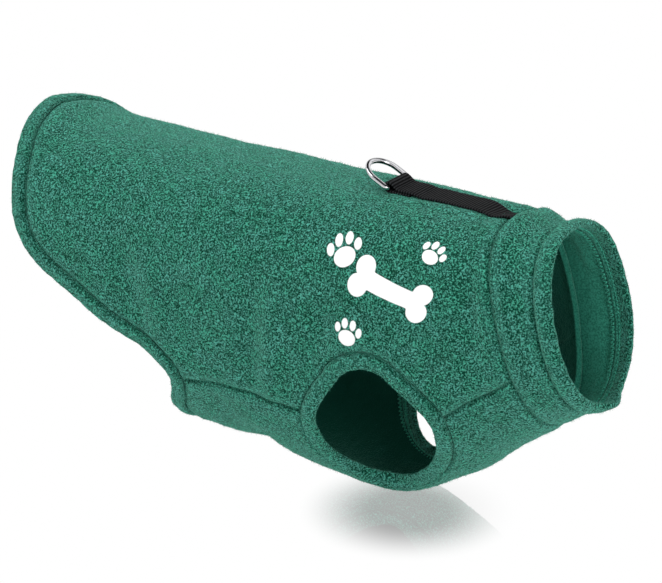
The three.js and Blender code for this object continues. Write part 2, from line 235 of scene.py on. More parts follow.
WALL = 2.0
STRAP_GAP = 0.3
EDGE = 0.03
BAND_WIDTH = 10.0
MM_PER_DEGREE = 1.4
NECK_SEAM = 70.0
COLLAR_SEAM = 94.0
COLLAR_RIM = COLLAR_SEAM + BAND_WIDTH + EDGE
HEM_CORNER = -145.0


def smooth_curve(rows, columns, key, value):
    """A curve through a table's rows that never overshoots: each span is a cubic, and the
    slope at a row is the weighted harmonic mean of the slopes beside it, or zero at a peak."""
    at = np.array([row[columns.index(key)] for row in rows], float)
    height = np.array([row[columns.index(value)] for row in rows], float)
    step = np.diff(at)
    rise = np.diff(height) / step
    before, after = 2 * step[1:] + step[:-1], step[1:] + 2 * step[:-1]
    same_way = rise[:-1] * rise[1:] > 0
    left, right = np.where(same_way, rise[:-1], 1.0), np.where(same_way, rise[1:], 1.0)
    middle = np.where(same_way, (before + after) / (before / left + after / right), 0.0)
    slope = np.concatenate([rise[:1], middle, rise[-1:]])

    def curve(k):
        k = np.clip(k, at[0], at[-1])
        i = np.clip(np.searchsorted(at, k, side="right") - 1, 0, len(step) - 1)
        t = (k - at[i]) / step[i]
        ease = t * t * (3 - 2 * t)
        lead = t * (1 - t) ** 2 * slope[i] - t * t * (1 - t) * slope[i + 1]
        return height[i] * (1 - ease) + height[i + 1] * ease + lead * step[i]

    return curve


section_at = {c: smooth_curve(SECTIONS, SECTION_COLUMNS, "x", c) for c in SECTION_COLUMNS[1:]}
hem_curve = smooth_curve(HEM, HEM_COLUMNS, "phi", "x")
side_seam_at = smooth_curve(SIDE_SEAM, SEAM_COLUMNS, "x", "phi")
front_seam_at = smooth_curve(FRONT_SEAM, SEAM_COLUMNS, "x", "phi")


def wrapped(phi):
    """The same angle between minus 180 and 180 degrees."""
    return phi - 360 * np.round(phi / 360)


def form(x, phi):
    """Smooth form before folds, in mm. Each section is a superellipse: across is the half
    width times a power of the sine, up is the half height times a power of the cosine, and
    the lean tips the section's up line towards the tail."""
    x, phi = np.broadcast_arrays(np.asarray(x, float), np.asarray(phi, float))
    row = {name: curve(x) for name, curve in section_at.items()}
    sine, cosine = np.sin(np.radians(phi)), np.cos(np.radians(phi))
    lean = np.radians(row["lean"])
    height = (row["top"] - row["bottom"]) / 2 / np.cos(lean)
    blend = 0.5 + 0.5 * np.clip(2 * cosine, -1, 1)
    power = 2 / (row["keel"] + (row["crown"] - row["keel"]) * blend)
    up = height * np.sign(cosine) * np.abs(cosine) ** power
    pinch = np.exp(-(((180 - np.abs(wrapped(phi))) / SPOUT["spread"]) ** 2))
    ramp = pinch * np.maximum((x - SPOUT["start"]) / (COLLAR_RIM - SPOUT["start"]), 0) ** 2
    return np.stack([
        x - up * np.sin(lean) + SPOUT["forward"] * ramp,
        -row["half"] * np.sign(sine) * np.abs(sine) ** power,
        (row["top"] + row["bottom"]) / 2 + up * np.cos(lean) - SPOUT["drop"] * ramp,
    ], axis=-1)


def unit(vectors):
    """Vectors divided by their lengths."""
    return vectors / np.linalg.norm(vectors, axis=-1, keepdims=True)


def along_loop(points):
    """Direction of a closed line at each of its points, from the points beside it."""
    return unit(np.roll(points, -1, axis=0) - np.roll(points, 1, axis=0))


def full_circle(count):
    """Angles once round, in radians, at even steps."""
    return np.linspace(0, 2 * math.pi, count, endpoint=False)


def outward(x, phi):
    """Direction straight out of the cloth: the way round crossed with the way along."""
    along = form(x + 0.5, phi) - form(x - 0.5, phi)
    around = form(x, phi + 0.6) - form(x, phi - 0.6)
    return unit(np.cross(around, along))


print("girth at the chest", round(float(np.linalg.norm(np.diff(
    form(-60, np.linspace(-180, 180, 361)), axis=0), axis=1).sum())), "mm")

# %% [markdown]
# ## Folds
# Fleece is soft but springy, so it hangs in a few broad folds, not in sharp creases. They
# run where the cloth is pulled: from the armholes up the flanks, down the tail flap and
# round the neck. Each row below is one fold: where its middle is, which way it runs, its
# half length, half width and height. Troughs are negative. The left side has folds of its
# own, like the ones on the right but not a mirror image of them.

# %% Table of folds
FOLD_COLUMNS = ("x", "phi", "turn", "long", "wide", "high")
FOLDS = [
    (-175, 87, 62, 34, 11, -3.2),
    (-158, 92, 62, 34, 11, 2.2),
    (-89, 89, 95, 24, 8, -2.8),
    (-75, 89, 95, 26, 8, 2.4),
    (-41, 83, 118, 20, 8, -2.4),
    (56, 77, 100, 26, 8, -2.4),
    (67, 60, 92, 45, 5, 1.2),
    (81, 50, 78, 32, 5, -1.4),
    (61, 0, 90, 18, 9, -3.2),
    (68, -9, 0, 10, 8, -5.0),
    (20, 8, 0, 42, 4, 1.0),
    (5, -9, 0, 30, 4, 0.8),
    (77, -4, 90, 28, 6, 1.8),
    (68, -108, 90, 48, 14, -4.0),
    (-108, 150, 90, 34, 16, -5.5),
    (-108, -150, 90, 34, 16, -5.5),
    (-98, 126, -58, 18, 8, 1.8),
    (-124, 126, -58, 18, 11, -2.4),
    (-181, -85, -58, 38, 12, -2.0),
    (-160, -93, -64, 30, 11, 1.8),
    (-84, -90, -92, 28, 9, -1.9),
    (-66, -84, -85, 22, 9, 1.6),
    (52, -80, -98, 28, 9, -1.7),
    (79, -54, -80, 30, 5, -1.3),
    (-108, -128, 60, 20, 10, 1.9),
]
SWELL_COUNT = 14
SWELL_LENGTHS = (28.0, 70.0)
SWELL_HEIGHT = 0.22


def fold_height(x, phi):
    """Height of all folds in mm: each is a bell along its length times a bell across it."""
    total = np.zeros(np.broadcast(x, phi).shape)
    for fold_x, fold_phi, turn, long, wide, high in FOLDS:
        dx, dy = x - fold_x, wrapped(phi - fold_phi) * MM_PER_DEGREE
        cosine, sine = math.cos(math.radians(turn)), math.sin(math.radians(turn))
        along = (dx * cosine + dy * sine) / long
        sideways = (dy * cosine - dx * sine) / wide
        total += high * np.exp(-(along ** 2) - sideways ** 2)
    return total


def waves(points, count, lengths, height, seed):
    """Unevenness in mm: a sum of sine waves in chosen random directions and lengths."""
    rng = np.random.default_rng(seed)
    way = unit(rng.normal(size=(count, 3)))
    number = 2 * math.pi / rng.uniform(*lengths, size=count)
    phase = rng.uniform(0, 2 * math.pi, size=count)
    angle = points @ (way * number[:, None]).T + phase
    return height * math.sqrt(2 / count) * np.sin(angle).sum(axis=-1)


def on_coat(x, phi, out=0.0):
    """Points of the cloth in mm: the form, moved straight out by the folds and by out."""
    base = form(x, phi)
    lift = fold_height(x, phi) + waves(base, SWELL_COUNT, SWELL_LENGTHS, SWELL_HEIGHT, 7) + out
    return base + outward(x, phi) * np.asarray(lift)[..., None]


print(len(FOLDS), "folds")

# %% [markdown]
# ## Walls
# A panel of cloth is a grid of places: its outer face, its inner face and the cut edge
# between them make one closed wall. A band or a collar runs round in a loop, so its grid
# closes both ways, like a tyre. Both come from the same helper, which numbers the points
# ring by ring and joins each to the next.


# %% Closed meshes from rings of points
SEAM_REACH = 6.0


def new_object(name, points, faces):
    """Mesh object from points in metres and faces, linked to the scene."""
    mesh = bpy.data.meshes.new(name)
    mesh.from_pydata(points.tolist(), [], faces.tolist())
    obj = bpy.data.objects.new(name, mesh)
    scene.collection.objects.link(obj)
    return obj


def ring_faces(ring_count, ring_size, closed):
    """Quads between neighbouring rings, and from the last ring to the first if closed."""
    first = np.arange(ring_count if closed else ring_count - 1)[:, None] * ring_size
    second = (first + ring_size) % (ring_count * ring_size)
    here = np.arange(ring_size)[None, :]
    after = (here + 1) % ring_size
    return np.stack([first + here, first + after, second + after, second + here], axis=-1).reshape(-1, 4)


def closed_mesh(name, rings, chart=None, closed=True, closing=(0.0, 0.0, 0.0), seam=None):
    """Mesh object from rings of points in mm. Open runs are capped by strips of quads that
    join the outer half of an end ring to its inner half. Faces are turned to point out. The
    chart is kept per face corner; where the last ring meets the first, the first ring's
    values grow by closing, so the chart runs on past the join. The nearness of a seam is 1
    on it and falls off like a bell of the distance in mm."""
    rings = np.asarray(rings, float)
    ring_count, ring_size = rings.shape[:2]
    faces = ring_faces(ring_count, ring_size, closed)
    if not closed:
        step = np.arange(ring_size // 2 - 1)
        back = ring_size - 1 - step
        cap = np.stack([step, back, back - 1, step + 1], axis=-1)
        faces = np.concatenate([faces, cap, cap[:, ::-1] + (ring_count - 1) * ring_size])
    points = rings.reshape(-1, 3) * MM
    a, b, c, d = (points[faces[:, k]] for k in range(4))
    volume = (np.cross(b - a, c - a) * a).sum() + (np.cross(c - a, d - a) * a).sum()
    if volume < 0:
        faces = faces[:, ::-1]
    obj = new_object(name, points, faces)
    mesh = obj.data
    mesh.shade_smooth()
    if chart is not None:
        corner = faces.ravel()
        value = np.asarray(chart, float).reshape(-1, 3)[corner]
        joining = np.repeat(np.arange(len(faces)) >= (ring_count - 1) * ring_size, 4)
        value[joining & (corner < ring_size) & closed] += closing
        layer = mesh.attributes.new("chart", "FLOAT_VECTOR", "CORNER")
        layer.data.foreach_set("vector", value.ravel())
    if seam is not None:
        near = np.exp(-((np.broadcast_to(seam, rings.shape[:2]) / SEAM_REACH) ** 2))
        mesh.attributes.new("seam", "FLOAT", "POINT").data.foreach_set("value", near.ravel())
    print(name, len(points), "points", 2 * len(faces), "triangles")
    return obj


def edge_distance(points):
    """Distance in mm along the cloth from each point of an open grid to its nearest edge."""
    distances = []
    for axis in (0, 1):
        step = np.linalg.norm(np.diff(points, axis=axis), axis=-1)
        start = np.zeros_like(np.take(step, [0], axis=axis))
        run = np.concatenate([start, np.cumsum(step, axis=axis)], axis=axis)
        distances.append(np.minimum(run, np.take(run, [-1], axis=axis) - run))
    return np.minimum(*distances)


# %% [markdown]
# ## How fleece behaves at a seam
# Two pieces are sewn face to face, so at the seam both roll inwards and leave a soft
# groove, and just beside it the cloth stands up a little. Between seams the pile makes the
# surface slightly lumpy, which shows most along the coat's outline.

# %% Seam groove and lumps
GROOVE = dict(deep=1.4, wide=1.1, dish=0.6, dish_wide=4.0, swell=0.5, swell_at=7.5, swell_wide=4.0)
LUMPS = dict(count=36, lengths=(3.8, 9.0), height=0.12, seed=21)


def seam_groove(distance):
    """Height in mm beside a seam: a narrow groove in a shallow dish, with a low swell next
    to it. Each part is a bell of the distance from the seam."""
    groove = -GROOVE["deep"] * np.exp(-((distance / GROOVE["wide"]) ** 2))
    dish = -GROOVE["dish"] * np.exp(-((distance / GROOVE["dish_wide"]) ** 2))
    beside = (distance - GROOVE["swell_at"]) / GROOVE["swell_wide"]
    return groove + dish + GROOVE["swell"] * np.exp(-(beside ** 2))


def lumps(points):
    """Fine unevenness of the pile in mm."""
    return waves(points, **LUMPS)


CHART_STATION = 0.0
chart_angle = np.linspace(0, 180, 361)
chart_run = np.linalg.norm(np.diff(form(CHART_STATION, chart_angle), axis=0), axis=1)
chart_length = np.concatenate([[0.0], np.cumsum(chart_run)])


def chart_of(x, phi, side):
    """Chart of the cloth: station, distance round from the spine in mm (right is positive)
    and the side: 1 for the face with the long pile, 0 for the other."""
    angle = np.abs(phi)
    half = np.interp(np.minimum(angle, 360 - angle), chart_angle, chart_length)
    around = np.sign(phi) * np.where(angle > 180, 2 * chart_length[-1] - half, half)
    return np.stack(np.broadcast_arrays(x, around, side), axis=-1)


def cloth_wall(x, phi, groove):
    """Outer and inner points of a wall, and its chart: station, girth and 1 on the outside."""
    smooth = form(x, phi)
    outer = on_coat(x, phi, groove + lumps(smooth))
    inner = on_coat(x, phi, 0.4 * groove - WALL + 0.5 * lumps(smooth + 40.0))
    return outer, inner, [chart_of(x, phi, side) for side in (1.0, 0.0)]


def folded(outer, inner):
    """A wall's outer run and then its inner run backwards, as one ring round the cloth."""
    return np.concatenate([outer, inner[:, ::-1]], axis=1)


# %% [markdown]
# ## Back and chest panels
# The coat is cut in two: a large panel over the back and both flanks, and a smaller one
# under the chest and belly. Each panel's long edge runs along the side seam, round half of
# the armhole and up the front seam to the neck. A grid that is blended between that edge
# and the panel's middle line follows the cut exactly and stays even in between.

# %% Panel edges
CLOTH_STEP = 1.9
FINE_STEPS = np.array([0.0, 0.35, 0.75, 1.25, 1.9, 2.8, 4.0])
HALF_GIRTH = dict(back=205.0, chest=85.0)


def shares(length, step, fine_start=False, fine_end=False):
    """Places from 0 to 1 along a run: even steps in mm, with finer ones next to an edge."""
    margin = FINE_STEPS / length
    low = margin if fine_start else margin[:1]
    high = 1 - (margin if fine_end else margin[:1])[::-1]
    count = int(round((high[0] - low[-1]) * length / step))
    middle = np.linspace(low[-1], high[0], count + 1)[1:-1]
    return np.concatenate([low, middle, high])


def armhole_edge(turn, grow=0.0):
    """Place of the armhole seam at a turn in degrees, moved out from its middle by grow mm."""
    down = np.sin(np.radians(turn))
    size = np.where(down < 0, ARMHOLE["above"], ARMHOLE["below"]) + grow / MM_PER_DEGREE
    x = ARMHOLE["x"] + (ARMHOLE["half_length"] + grow) * np.cos(np.radians(turn))
    return x, ARMHOLE["phi"] + size * down


def turn_at(phi):
    """Turn at which the upper half of the armhole seam passes an angle."""
    return math.degrees(math.asin((float(phi) - ARMHOLE["phi"]) / ARMHOLE["above"]))


REAR_TURN = 180 - turn_at(side_seam_at(ARMHOLE["x"] - ARMHOLE["half_length"]))
FRONT_TURN = 360 + turn_at(front_seam_at(ARMHOLE["x"] + ARMHOLE["half_length"]))
CORNER = float(side_seam_at(HEM_CORNER))


def run_length(x, phi):
    """Length in mm from the start of a line of places to each of them."""
    steps = np.linalg.norm(np.diff(form(x, phi), axis=0), axis=-1)
    return np.concatenate([[0.0], np.cumsum(steps)])


def spaced(x, phi, **fine):
    """A line of places taken again at even steps along the cloth."""
    length = run_length(x, phi)
    goal = shares(length[-1], CLOTH_STEP, **fine) * length[-1]
    return np.interp(goal, length, x), np.interp(goal, length, phi)


def panel_edge(side, last_turn):
    """Long edge of a panel from hem to neck; side is -1 for the back and 1 for the chest."""
    shift = side * EDGE / MM_PER_DEGREE
    turns = np.linspace(REAR_TURN, last_turn, 400)
    arc_x, arc_phi = armhole_edge(turns, EDGE)
    rear_x = np.linspace(float(hem_curve(CORNER)) + EDGE, arc_x[0], 200)
    front_x = np.linspace(arc_x[-1], NECK_SEAM - EDGE, 100)
    runs = [
        spaced(rear_x, side_seam_at(rear_x) + shift, fine_start=True),
        spaced(arc_x, arc_phi),
        spaced(front_x, front_seam_at(front_x) + shift, fine_end=True),
    ]
    x = np.concatenate([runs[0][0][:-1], runs[1][0], runs[2][0][1:]])
    phi = np.concatenate([runs[0][1][:-1], runs[1][1], runs[2][1][1:]])
    return x, phi


def hem_inside(phi):
    """Station of the hem seam moved forward by EDGE, square to the seam."""
    slope = (hem_curve(phi + 1) - hem_curve(phi - 1)) / 2 / MM_PER_DEGREE
    return hem_curve(phi) + EDGE * np.hypot(1, slope)


def panel_grid(edge, middle_phi, half_girth):
    """Places of a whole panel: x runs from the middle line's station to the edge's, with the
    hem's bow added and fading towards the neck; phi runs from the middle to the edge."""
    edge_x, edge_phi = edge
    v = shares(half_girth, CLOTH_STEP, fine_end=True)[None, :]
    u = run_length(edge_x, edge_phi)[:, None]
    u = u / u[-1]
    hem_phi = middle_phi + (CORNER - middle_phi) * v
    tail, neck = hem_inside(np.array(float(middle_phi))), NECK_SEAM - EDGE
    bow = hem_inside(hem_phi) - (tail * (1 - v) + hem_inside(np.array(CORNER)) * v)
    middle_x = tail * (1 - u) + neck * u
    x = middle_x * (1 - v) + edge_x[:, None] * v + (1 - u) * bow
    phi = middle_phi + (edge_phi[:, None] - middle_phi) * v
    x = np.concatenate([x[:, :0:-1], x], axis=1)
    phi = np.concatenate([2 * middle_phi - phi[:, :0:-1], phi], axis=1)
    return x, phi


# %% Panels
def panel(name, x, phi):
    """A closed wall of cloth over a grid of places, with a groove along its edges."""
    away = edge_distance(form(x, phi))
    outer, inner, chart = cloth_wall(x, phi, seam_groove(away))
    return closed_mesh(name, folded(outer, inner), folded(*chart), closed=False, seam=folded(away, away))


back_edge = panel_edge(-1, FRONT_TURN)
chest_edge = panel_edge(1, FRONT_TURN - 360)
back = panel("back_panel_cloth", *panel_grid(back_edge, 0.0, HALF_GIRTH["back"]))
chest = panel("chest_panel_cloth", *panel_grid(chest_edge, 180.0, HALF_GIRTH["chest"]))

# %% [markdown]
# ## Folded bands
# Every raw edge of the coat is bound with a strip of fleece, folded over it and sewn down.
# Seen from its end, such a band is a U that lies on its side: the outer layer, the fold at
# the rim and an inner layer that reaches a little past the seam. The same U is carried
# round the hem, the two armholes and the collar's rim. At the armholes the band stands up
# from the cloth's slope.

# %% Band section
BAND = dict(layer=1.3, outer=0.9, inner=-3.3, past_seam=3.0, puff=0.9)
BAND_POINTS = dict(flat=14, fold=9, inner=20)
STITCH_ROWS = dict(places=(-1.0, 2.2), deep=0.55, wide=0.6)
BAND_MIDDLE = (BAND["outer"] + BAND["inner"]) / 2
BAND_RADIUS = (BAND["outer"] - BAND["inner"]) / 2
BAND_REACH = BAND_WIDTH - BAND_RADIUS


def band_section():
    """The U in (across, out), in mm: the outer layer from the seam to the fold, half a
    circle round the rim and the inner layer back past the seam; then the same way back
    within the U, one layer deeper. The outer layer dips to the seam and puffs between; the
    inner one is drawn in along its two rows of stitches."""
    along = shares(BAND_REACH, BAND_REACH / BAND_POINTS["flat"], fine_start=True)
    turn = np.radians(np.linspace(90, -90, BAND_POINTS["fold"]))[1:-1]
    dip = GROOVE["deep"] * np.exp(-((along * BAND_REACH / GROOVE["wide"]) ** 2))
    shape = BAND["puff"] * np.sin(math.pi * along) - dip
    inner_end = -BAND["past_seam"]

    def layer(radius, share, start):
        upper = np.stack([along * BAND_REACH, BAND_MIDDLE + radius + shape * share], axis=-1)
        rim_across = BAND_REACH + radius * np.cos(turn)
        rim = np.stack([rim_across, BAND_MIDDLE + radius * np.sin(turn)], axis=-1)
        back = np.linspace(BAND_REACH, start, BAND_POINTS["inner"])
        rows = sum(np.exp(-(((back - at) / STITCH_ROWS["wide"]) ** 2)) for at in STITCH_ROWS["places"])
        lower = np.stack([back, BAND_MIDDLE - radius + STITCH_ROWS["deep"] * rows], axis=-1)
        return np.concatenate([upper, rim, lower])

    outside = layer(BAND_RADIUS, 1.0, inner_end)
    inside = layer(BAND_RADIUS - BAND["layer"], 0.5, inner_end + 0.3)[::-1]
    return np.concatenate([outside, inside])


SECTION = band_section()
SECTION_RUN = np.concatenate([[0.0], np.cumsum(np.linalg.norm(np.diff(SECTION, axis=0), axis=1))])
OUTER_POINTS = BAND_POINTS["fold"] + BAND_POINTS["flat"] + 6
PILE_SIDE = np.where(np.arange(len(SECTION)) < OUTER_POINTS, 1.0, 0.4)
INNER_ROWS = np.array([*STITCH_ROWS["places"], -BAND["past_seam"]])
TO_ROW = np.abs(SECTION[:, :1] - INNER_ROWS).min(axis=1) + 0.3
FROM_STITCHES = np.where(SECTION[:, 1] > BAND_MIDDLE, np.maximum(SECTION[:, 0], 0), TO_ROW)


def seam_placer(seam_at, turns, side, upright=0.0):
    """Returns place(across, out): points beside a closed seam at each of its turns, so many
    mm across from it and out of the cloth. Where upright is 1 the band stands up: its out
    direction loses its upward part over the first half of its width."""
    def on_seam(turn):
        x, phi = seam_at(turn)
        return on_coat(x, phi)

    start = on_seam(turns)[:, None]
    cloth = outward(*seam_at(turns))
    face = unit(cloth * np.array([1.0, 1.0, 1.0 - upright]))
    tangent = unit(on_seam(turns + 1) - on_seam(turns - 1))
    sideways = unit(np.cross(tangent, face))[:, None] * side

    def place(across, out):
        across, out = (np.asarray(a, float)[..., None] for a in np.broadcast_arrays(across, out))
        lean = np.clip(2 * across / BAND_WIDTH, 0, 1)
        way = unit(cloth[:, None] * (1 - lean) + face[:, None] * lean)
        return start + sideways * (across + EDGE * np.sign(across + 0.01)) + way * out

    return place


def band(name, place):
    """A folded band: the U at every turn of the seam, with the pile's lumps added outwards.
    Its chart is the distance along the seam and the distance round the U."""
    rings = place(SECTION[None, :, 0], SECTION[None, :, 1])
    away = unit(rings - rings.mean(axis=1, keepdims=True))
    rings = rings + away * lumps(rings)[..., None]
    step = np.linalg.norm(np.roll(rings[:, 0], -1, axis=0) - rings[:, 0], axis=-1)
    run = np.cumsum(step) - step
    chart = np.stack(np.broadcast_arrays(run[:, None], SECTION_RUN[None, :], PILE_SIDE[None, :]), axis=-1)
    return closed_mesh(name, rings, chart, closing=(step.sum(), 0.0, 0.0), seam=FROM_STITCHES)


# %% Hem and armhole bands
BAND_STEP = 1.7


def even_turns(seam_at, step):
    """Turns of a closed seam, one for each step of so many mm along the cloth."""
    fine = np.linspace(0, 360, 2001)
    run = run_length(*seam_at(fine))
    count = int(round(run[-1] / step))
    return np.interp(np.linspace(0, run[-1], count, endpoint=False), run, fine)


def hem_seam(turn):
    return hem_curve(np.abs(wrapped(turn))), turn


def right_armhole(turn):
    return armhole_edge(turn)


def left_armhole(turn):
    x, phi = armhole_edge(turn)
    return x, -phi


SEAMS = {
    "hem": (hem_seam, 1, 0.0),
    "armhole_right": (right_armhole, 1, 1.0),
    "armhole_left": (left_armhole, -1, 1.0),
}


def bound_edge(name, seam):
    """The band of one of the seams above."""
    seam_at, side, upright = SEAMS[seam]
    turns = even_turns(seam_at, BAND_STEP)
    return band(name, seam_placer(seam_at, turns, side, upright))


hem_band = bound_edge("hem_band_cloth", "hem")
arm_right = bound_edge("armhole_band_right_cloth", "armhole_right")
arm_left = bound_edge("armhole_band_left_cloth", "armhole_left")

# %% [markdown]
# ## Collar
# The collar is a short tube that stands up from the neck seam and flares at its rim, where
# a folded band closes it. Under the throat the rim is pinched into a small spout, because
# the band's ends are joined there.

# %% Collar and its band


def neck_turns(station, step):
    return even_turns(lambda turn: (np.full_like(turn, station), turn), step)


def collar_tube(name, start, end):
    """A tube of cloth between two stations, with a groove at both of its seams."""
    station = start + shares(end - start, CLOTH_STEP, True, True)[None, :] * (end - start)
    phi = neck_turns(start, BAND_STEP)[:, None]
    x, phi = (a.copy() for a in np.broadcast_arrays(station, phi))
    away = np.minimum(x - start, end - x)
    outer, inner, chart = cloth_wall(x, phi, seam_groove(away))
    closing = (0.0, 2 * chart_length[-1], 0.0)
    return closed_mesh(name, folded(outer, inner), folded(*chart), closing=closing, seam=folded(away, away))


def neck_placer(station, turns):
    """Returns place(across, out) for a seam round the neck; it follows the form forwards,
    so what is placed with it takes part in the flare and in the spout."""
    def place(across, out):
        across, out = np.broadcast_arrays(np.asarray(across, float), out)
        return on_coat(station + EDGE * np.sign(across + 0.01) + across, turns[:, None], out)

    return place


collar = collar_tube("collar_cloth", NECK_SEAM + EDGE, COLLAR_SEAM - EDGE)
rim_turns = neck_turns(COLLAR_SEAM, BAND_STEP)
collar_band = band("collar_band_cloth", neck_placer(COLLAR_SEAM, rim_turns))

# %% [markdown]
# ## Leash strap
# One length of 20 mm webbing is sewn along the spine. Its front end goes into the neck
# seam. At the other end it turns down round the ring's bar, and its cut end is tucked
# under. Webbing is stiffer than fleece, so it lies flat across while the cloth below it
# sinks and tilts. The ribs are real ridges: waves along the path of a flat section.

# %% Strap
WEBBING = dict(width=20.0, thick=1.6, front=53.0, tucked=15.0, step=9.0, tuck_in=1.5)
RIB = dict(pitch=1.8, high=0.13, samples=8)
RING = dict(wire=3.0, inside=20.6, height=22.3, corner=2.0, lean_back=63.0)
RING_CLEARANCE = 0.4
LOOP_TURN = (42, 270)
HUMP = dict(long=2.6, power=1.7)
CUT_END = 0.86
BAR_X = -29.3
LOOP_INSIDE = RING["wire"] / 2 + RING_CLEARANCE
BAR_Z = WALL + STRAP_GAP + WEBBING["thick"] + LOOP_INSIDE
spine_station = np.linspace(-120, 80, 801)
spine_x = form(spine_station, 0.0)[:, 0]


def cloth_level(x, y):
    """Height of the cloth's outer face in mm at a place near the spine. The angle is the
    inverse of the section's formula: the sine is the share of the width to a power."""
    station = np.interp(x, spine_x, spine_station)
    share = np.abs(y) / section_at["half"](station)
    phi = np.degrees(np.arcsin(share ** (section_at["crown"](station) / 2)))
    return on_coat(station, -np.sign(y) * phi)[..., 2]


def strap_path():
    """Middle line of the webbing from the side, in mm: the upper layer from the neck to the
    loop, an arc round the bar, and the tucked layer forward to its cut end. The height is
    counted from the cloth."""
    half = WEBBING["thick"] / 2
    low = STRAP_GAP + half
    high = low + WEBBING["thick"]
    radius = LOOP_INSIDE + half
    end = BAR_X + WEBBING["tucked"]
    loop = arc(BAR_X, BAR_Z - WALL, radius, *LOOP_TURN, 80)
    upper_x = np.linspace(WEBBING["front"], loop[0, 0], 240)[:-1]
    down = np.clip((end + WEBBING["step"] - upper_x) / WEBBING["step"], 0, 1)
    step = 0.5 - 0.5 * np.cos(math.pi * down)
    hump = (loop[0, 1] - high) * np.exp(-(((upper_x - loop[0, 0]) / HUMP["long"]) ** HUMP["power"]))
    into_seam = WEBBING["tuck_in"] * np.clip((upper_x - WEBBING["front"] + 5) / 5, 0, 1) ** 2
    upper = np.stack([upper_x, low + (high - low) * step + hump - into_seam], axis=-1)
    lower_x = np.linspace(BAR_X, end, 60)[1:]
    lower = np.stack([lower_x, np.full_like(lower_x, low)], axis=-1)
    return np.concatenate([upper, loop, lower])


def arc(across, up, radius, start, end, count):
    """Points on part of a circle round (across, up), between two angles in degrees."""
    angle = np.radians(np.linspace(start, end, count))
    return np.stack([across + radius * np.cos(angle), up + radius * np.sin(angle)], axis=-1)


def resampled(path, step):
    """The path at equal steps, with the direction to its left at each point."""
    run = np.concatenate([[0.0], np.cumsum(np.linalg.norm(np.diff(path, axis=0), axis=-1))])
    goal = np.linspace(0, run[-1], int(run[-1] / step) + 1)
    points = np.stack([np.interp(goal, run, path[:, k]) for k in range(path.shape[1])], axis=-1)
    way = unit(np.gradient(points, axis=0))
    return goal, points, np.stack([-way[:, 1], way[:, 0]], axis=-1)


def flat_section(width, thick):
    """A flat oblong with half-round sides, in (sideways, up), in mm."""
    half, end = thick / 2, (width - thick) / 2
    flat = np.linspace(-end, end, 19)[1:-1]
    right = arc(end, 0.0, half, -90, 90, 7)
    top = np.stack([flat[::-1], np.full_like(flat, half)], axis=-1)
    return np.concatenate([right, top, -right, -top])


def strap(name):
    """The webbing's section carried along its path. Across, its level runs straight between
    the cloth's levels under its two sides; round the bar it keeps the bar's own level."""
    goal, points, normal = resampled(strap_path(), RIB["pitch"] / RIB["samples"])
    section = flat_section(WEBBING["width"], WEBBING["thick"])
    inset = np.clip((WEBBING["width"] / 2 - np.abs(section[:, 0])) / 1.2, 0.25, 1)
    rib = 1 + 2 * RIB["high"] / WEBBING["thick"] * np.cos(2 * math.pi * goal / RIB["pitch"])[:, None] * inset
    end = np.where((goal == goal[0]) | (goal == goal[-1]), CUT_END, 1.0)[:, None]
    lift = section[None, :, 1] * rib * end
    sideways = section[None, :, 0] * end
    x = points[:, None, 0] + normal[:, None, 0] * lift
    rim = WEBBING["width"] / 2 - 1
    right, left = cloth_level(x, np.full_like(x, -rim)), cloth_level(x, np.full_like(x, rim))
    share = 0.5 + sideways / (2 * rim)
    on_cloth = np.clip((points[:, None, 0] + 14) / 12, 0, 1)
    level = WALL + (right * (1 - share) + left * share - WALL) * on_cloth
    rings = np.stack([x, sideways + 0 * x, level + points[:, None, 1] + normal[:, None, 1] * lift], axis=-1)
    chart = np.stack(np.broadcast_arrays(goal[:, None], section[None, :, 0], 1.0), axis=-1)
    return closed_mesh(name, rings, chart, closed=False)


strap_cloth = strap("leash_strap_webbing")

# %% [markdown]
# ## The ring
# The ring is bent from round steel wire: a straight bar inside the webbing and a round bow
# that the leash clips to. A circle carried along the bent path makes it. It leans back on
# its bar at rest and swings with the frame's ring body.


# %% Ring
# number of painted reflection lines round the wire
PAINTED_REFLECTION_LINES = 3
SHINE_GROWTH = 0.15


def ring_path():
    """Middle line of the wire in (sideways, up) mm: bar, corner arc, bow and corner arc."""
    half = (RING["inside"] + RING["wire"]) / 2
    bow = RING["height"] - RING["wire"] / 2 - half
    corner = RING["corner"]
    bar = np.stack([np.linspace(corner - half, half - corner, 24), np.zeros(24)], axis=-1)
    side_right = np.stack([np.full(8, half), np.linspace(corner, bow, 10)[1:-1]], axis=-1)
    side_left = np.stack([np.full(8, -half), np.linspace(bow, corner, 10)[1:-1]], axis=-1)
    return np.concatenate([
        bar[:-1], arc(half - corner, corner, corner, -90, 0, 10), side_right,
        arc(0, bow, half, 0, 180, 72), side_left, arc(corner - half, corner, corner, 180, 270, 10)[:-1],
    ])


def ring(name, sides=28):
    """A circle of the wire's radius carried round the path, then leaned back on its bar. Its
    chart is the cosine and sine of three times the angle round the wire, which places the
    painted reflection lines of the chrome."""
    path = ring_path()
    way = along_loop(path)
    normal = np.stack([-way[:, 1], way[:, 0]], axis=-1)
    angle = full_circle(sides)
    radius = RING["wire"] / 2 + SHINE_GROWTH
    sideways = path[:, None, 0] + radius * np.cos(angle) * normal[:, None, 0]
    up = path[:, None, 1] + radius * np.cos(angle) * normal[:, None, 1]
    deep = np.broadcast_to(radius * np.sin(angle), up.shape)
    lean = math.radians(RING["lean_back"])
    rings = np.stack([
        BAR_X - up * math.sin(lean) + deep * math.cos(lean),
        sideways,
        BAR_Z + up * math.cos(lean) + deep * math.sin(lean),
    ], axis=-1)
    lines = np.stack([np.cos(PAINTED_REFLECTION_LINES * angle), np.sin(PAINTED_REFLECTION_LINES * angle), 0 * angle], axis=-1)
    return closed_mesh(name, rings, np.broadcast_to(lines, rings.shape))


wire_ring = ring("d_ring_wire")

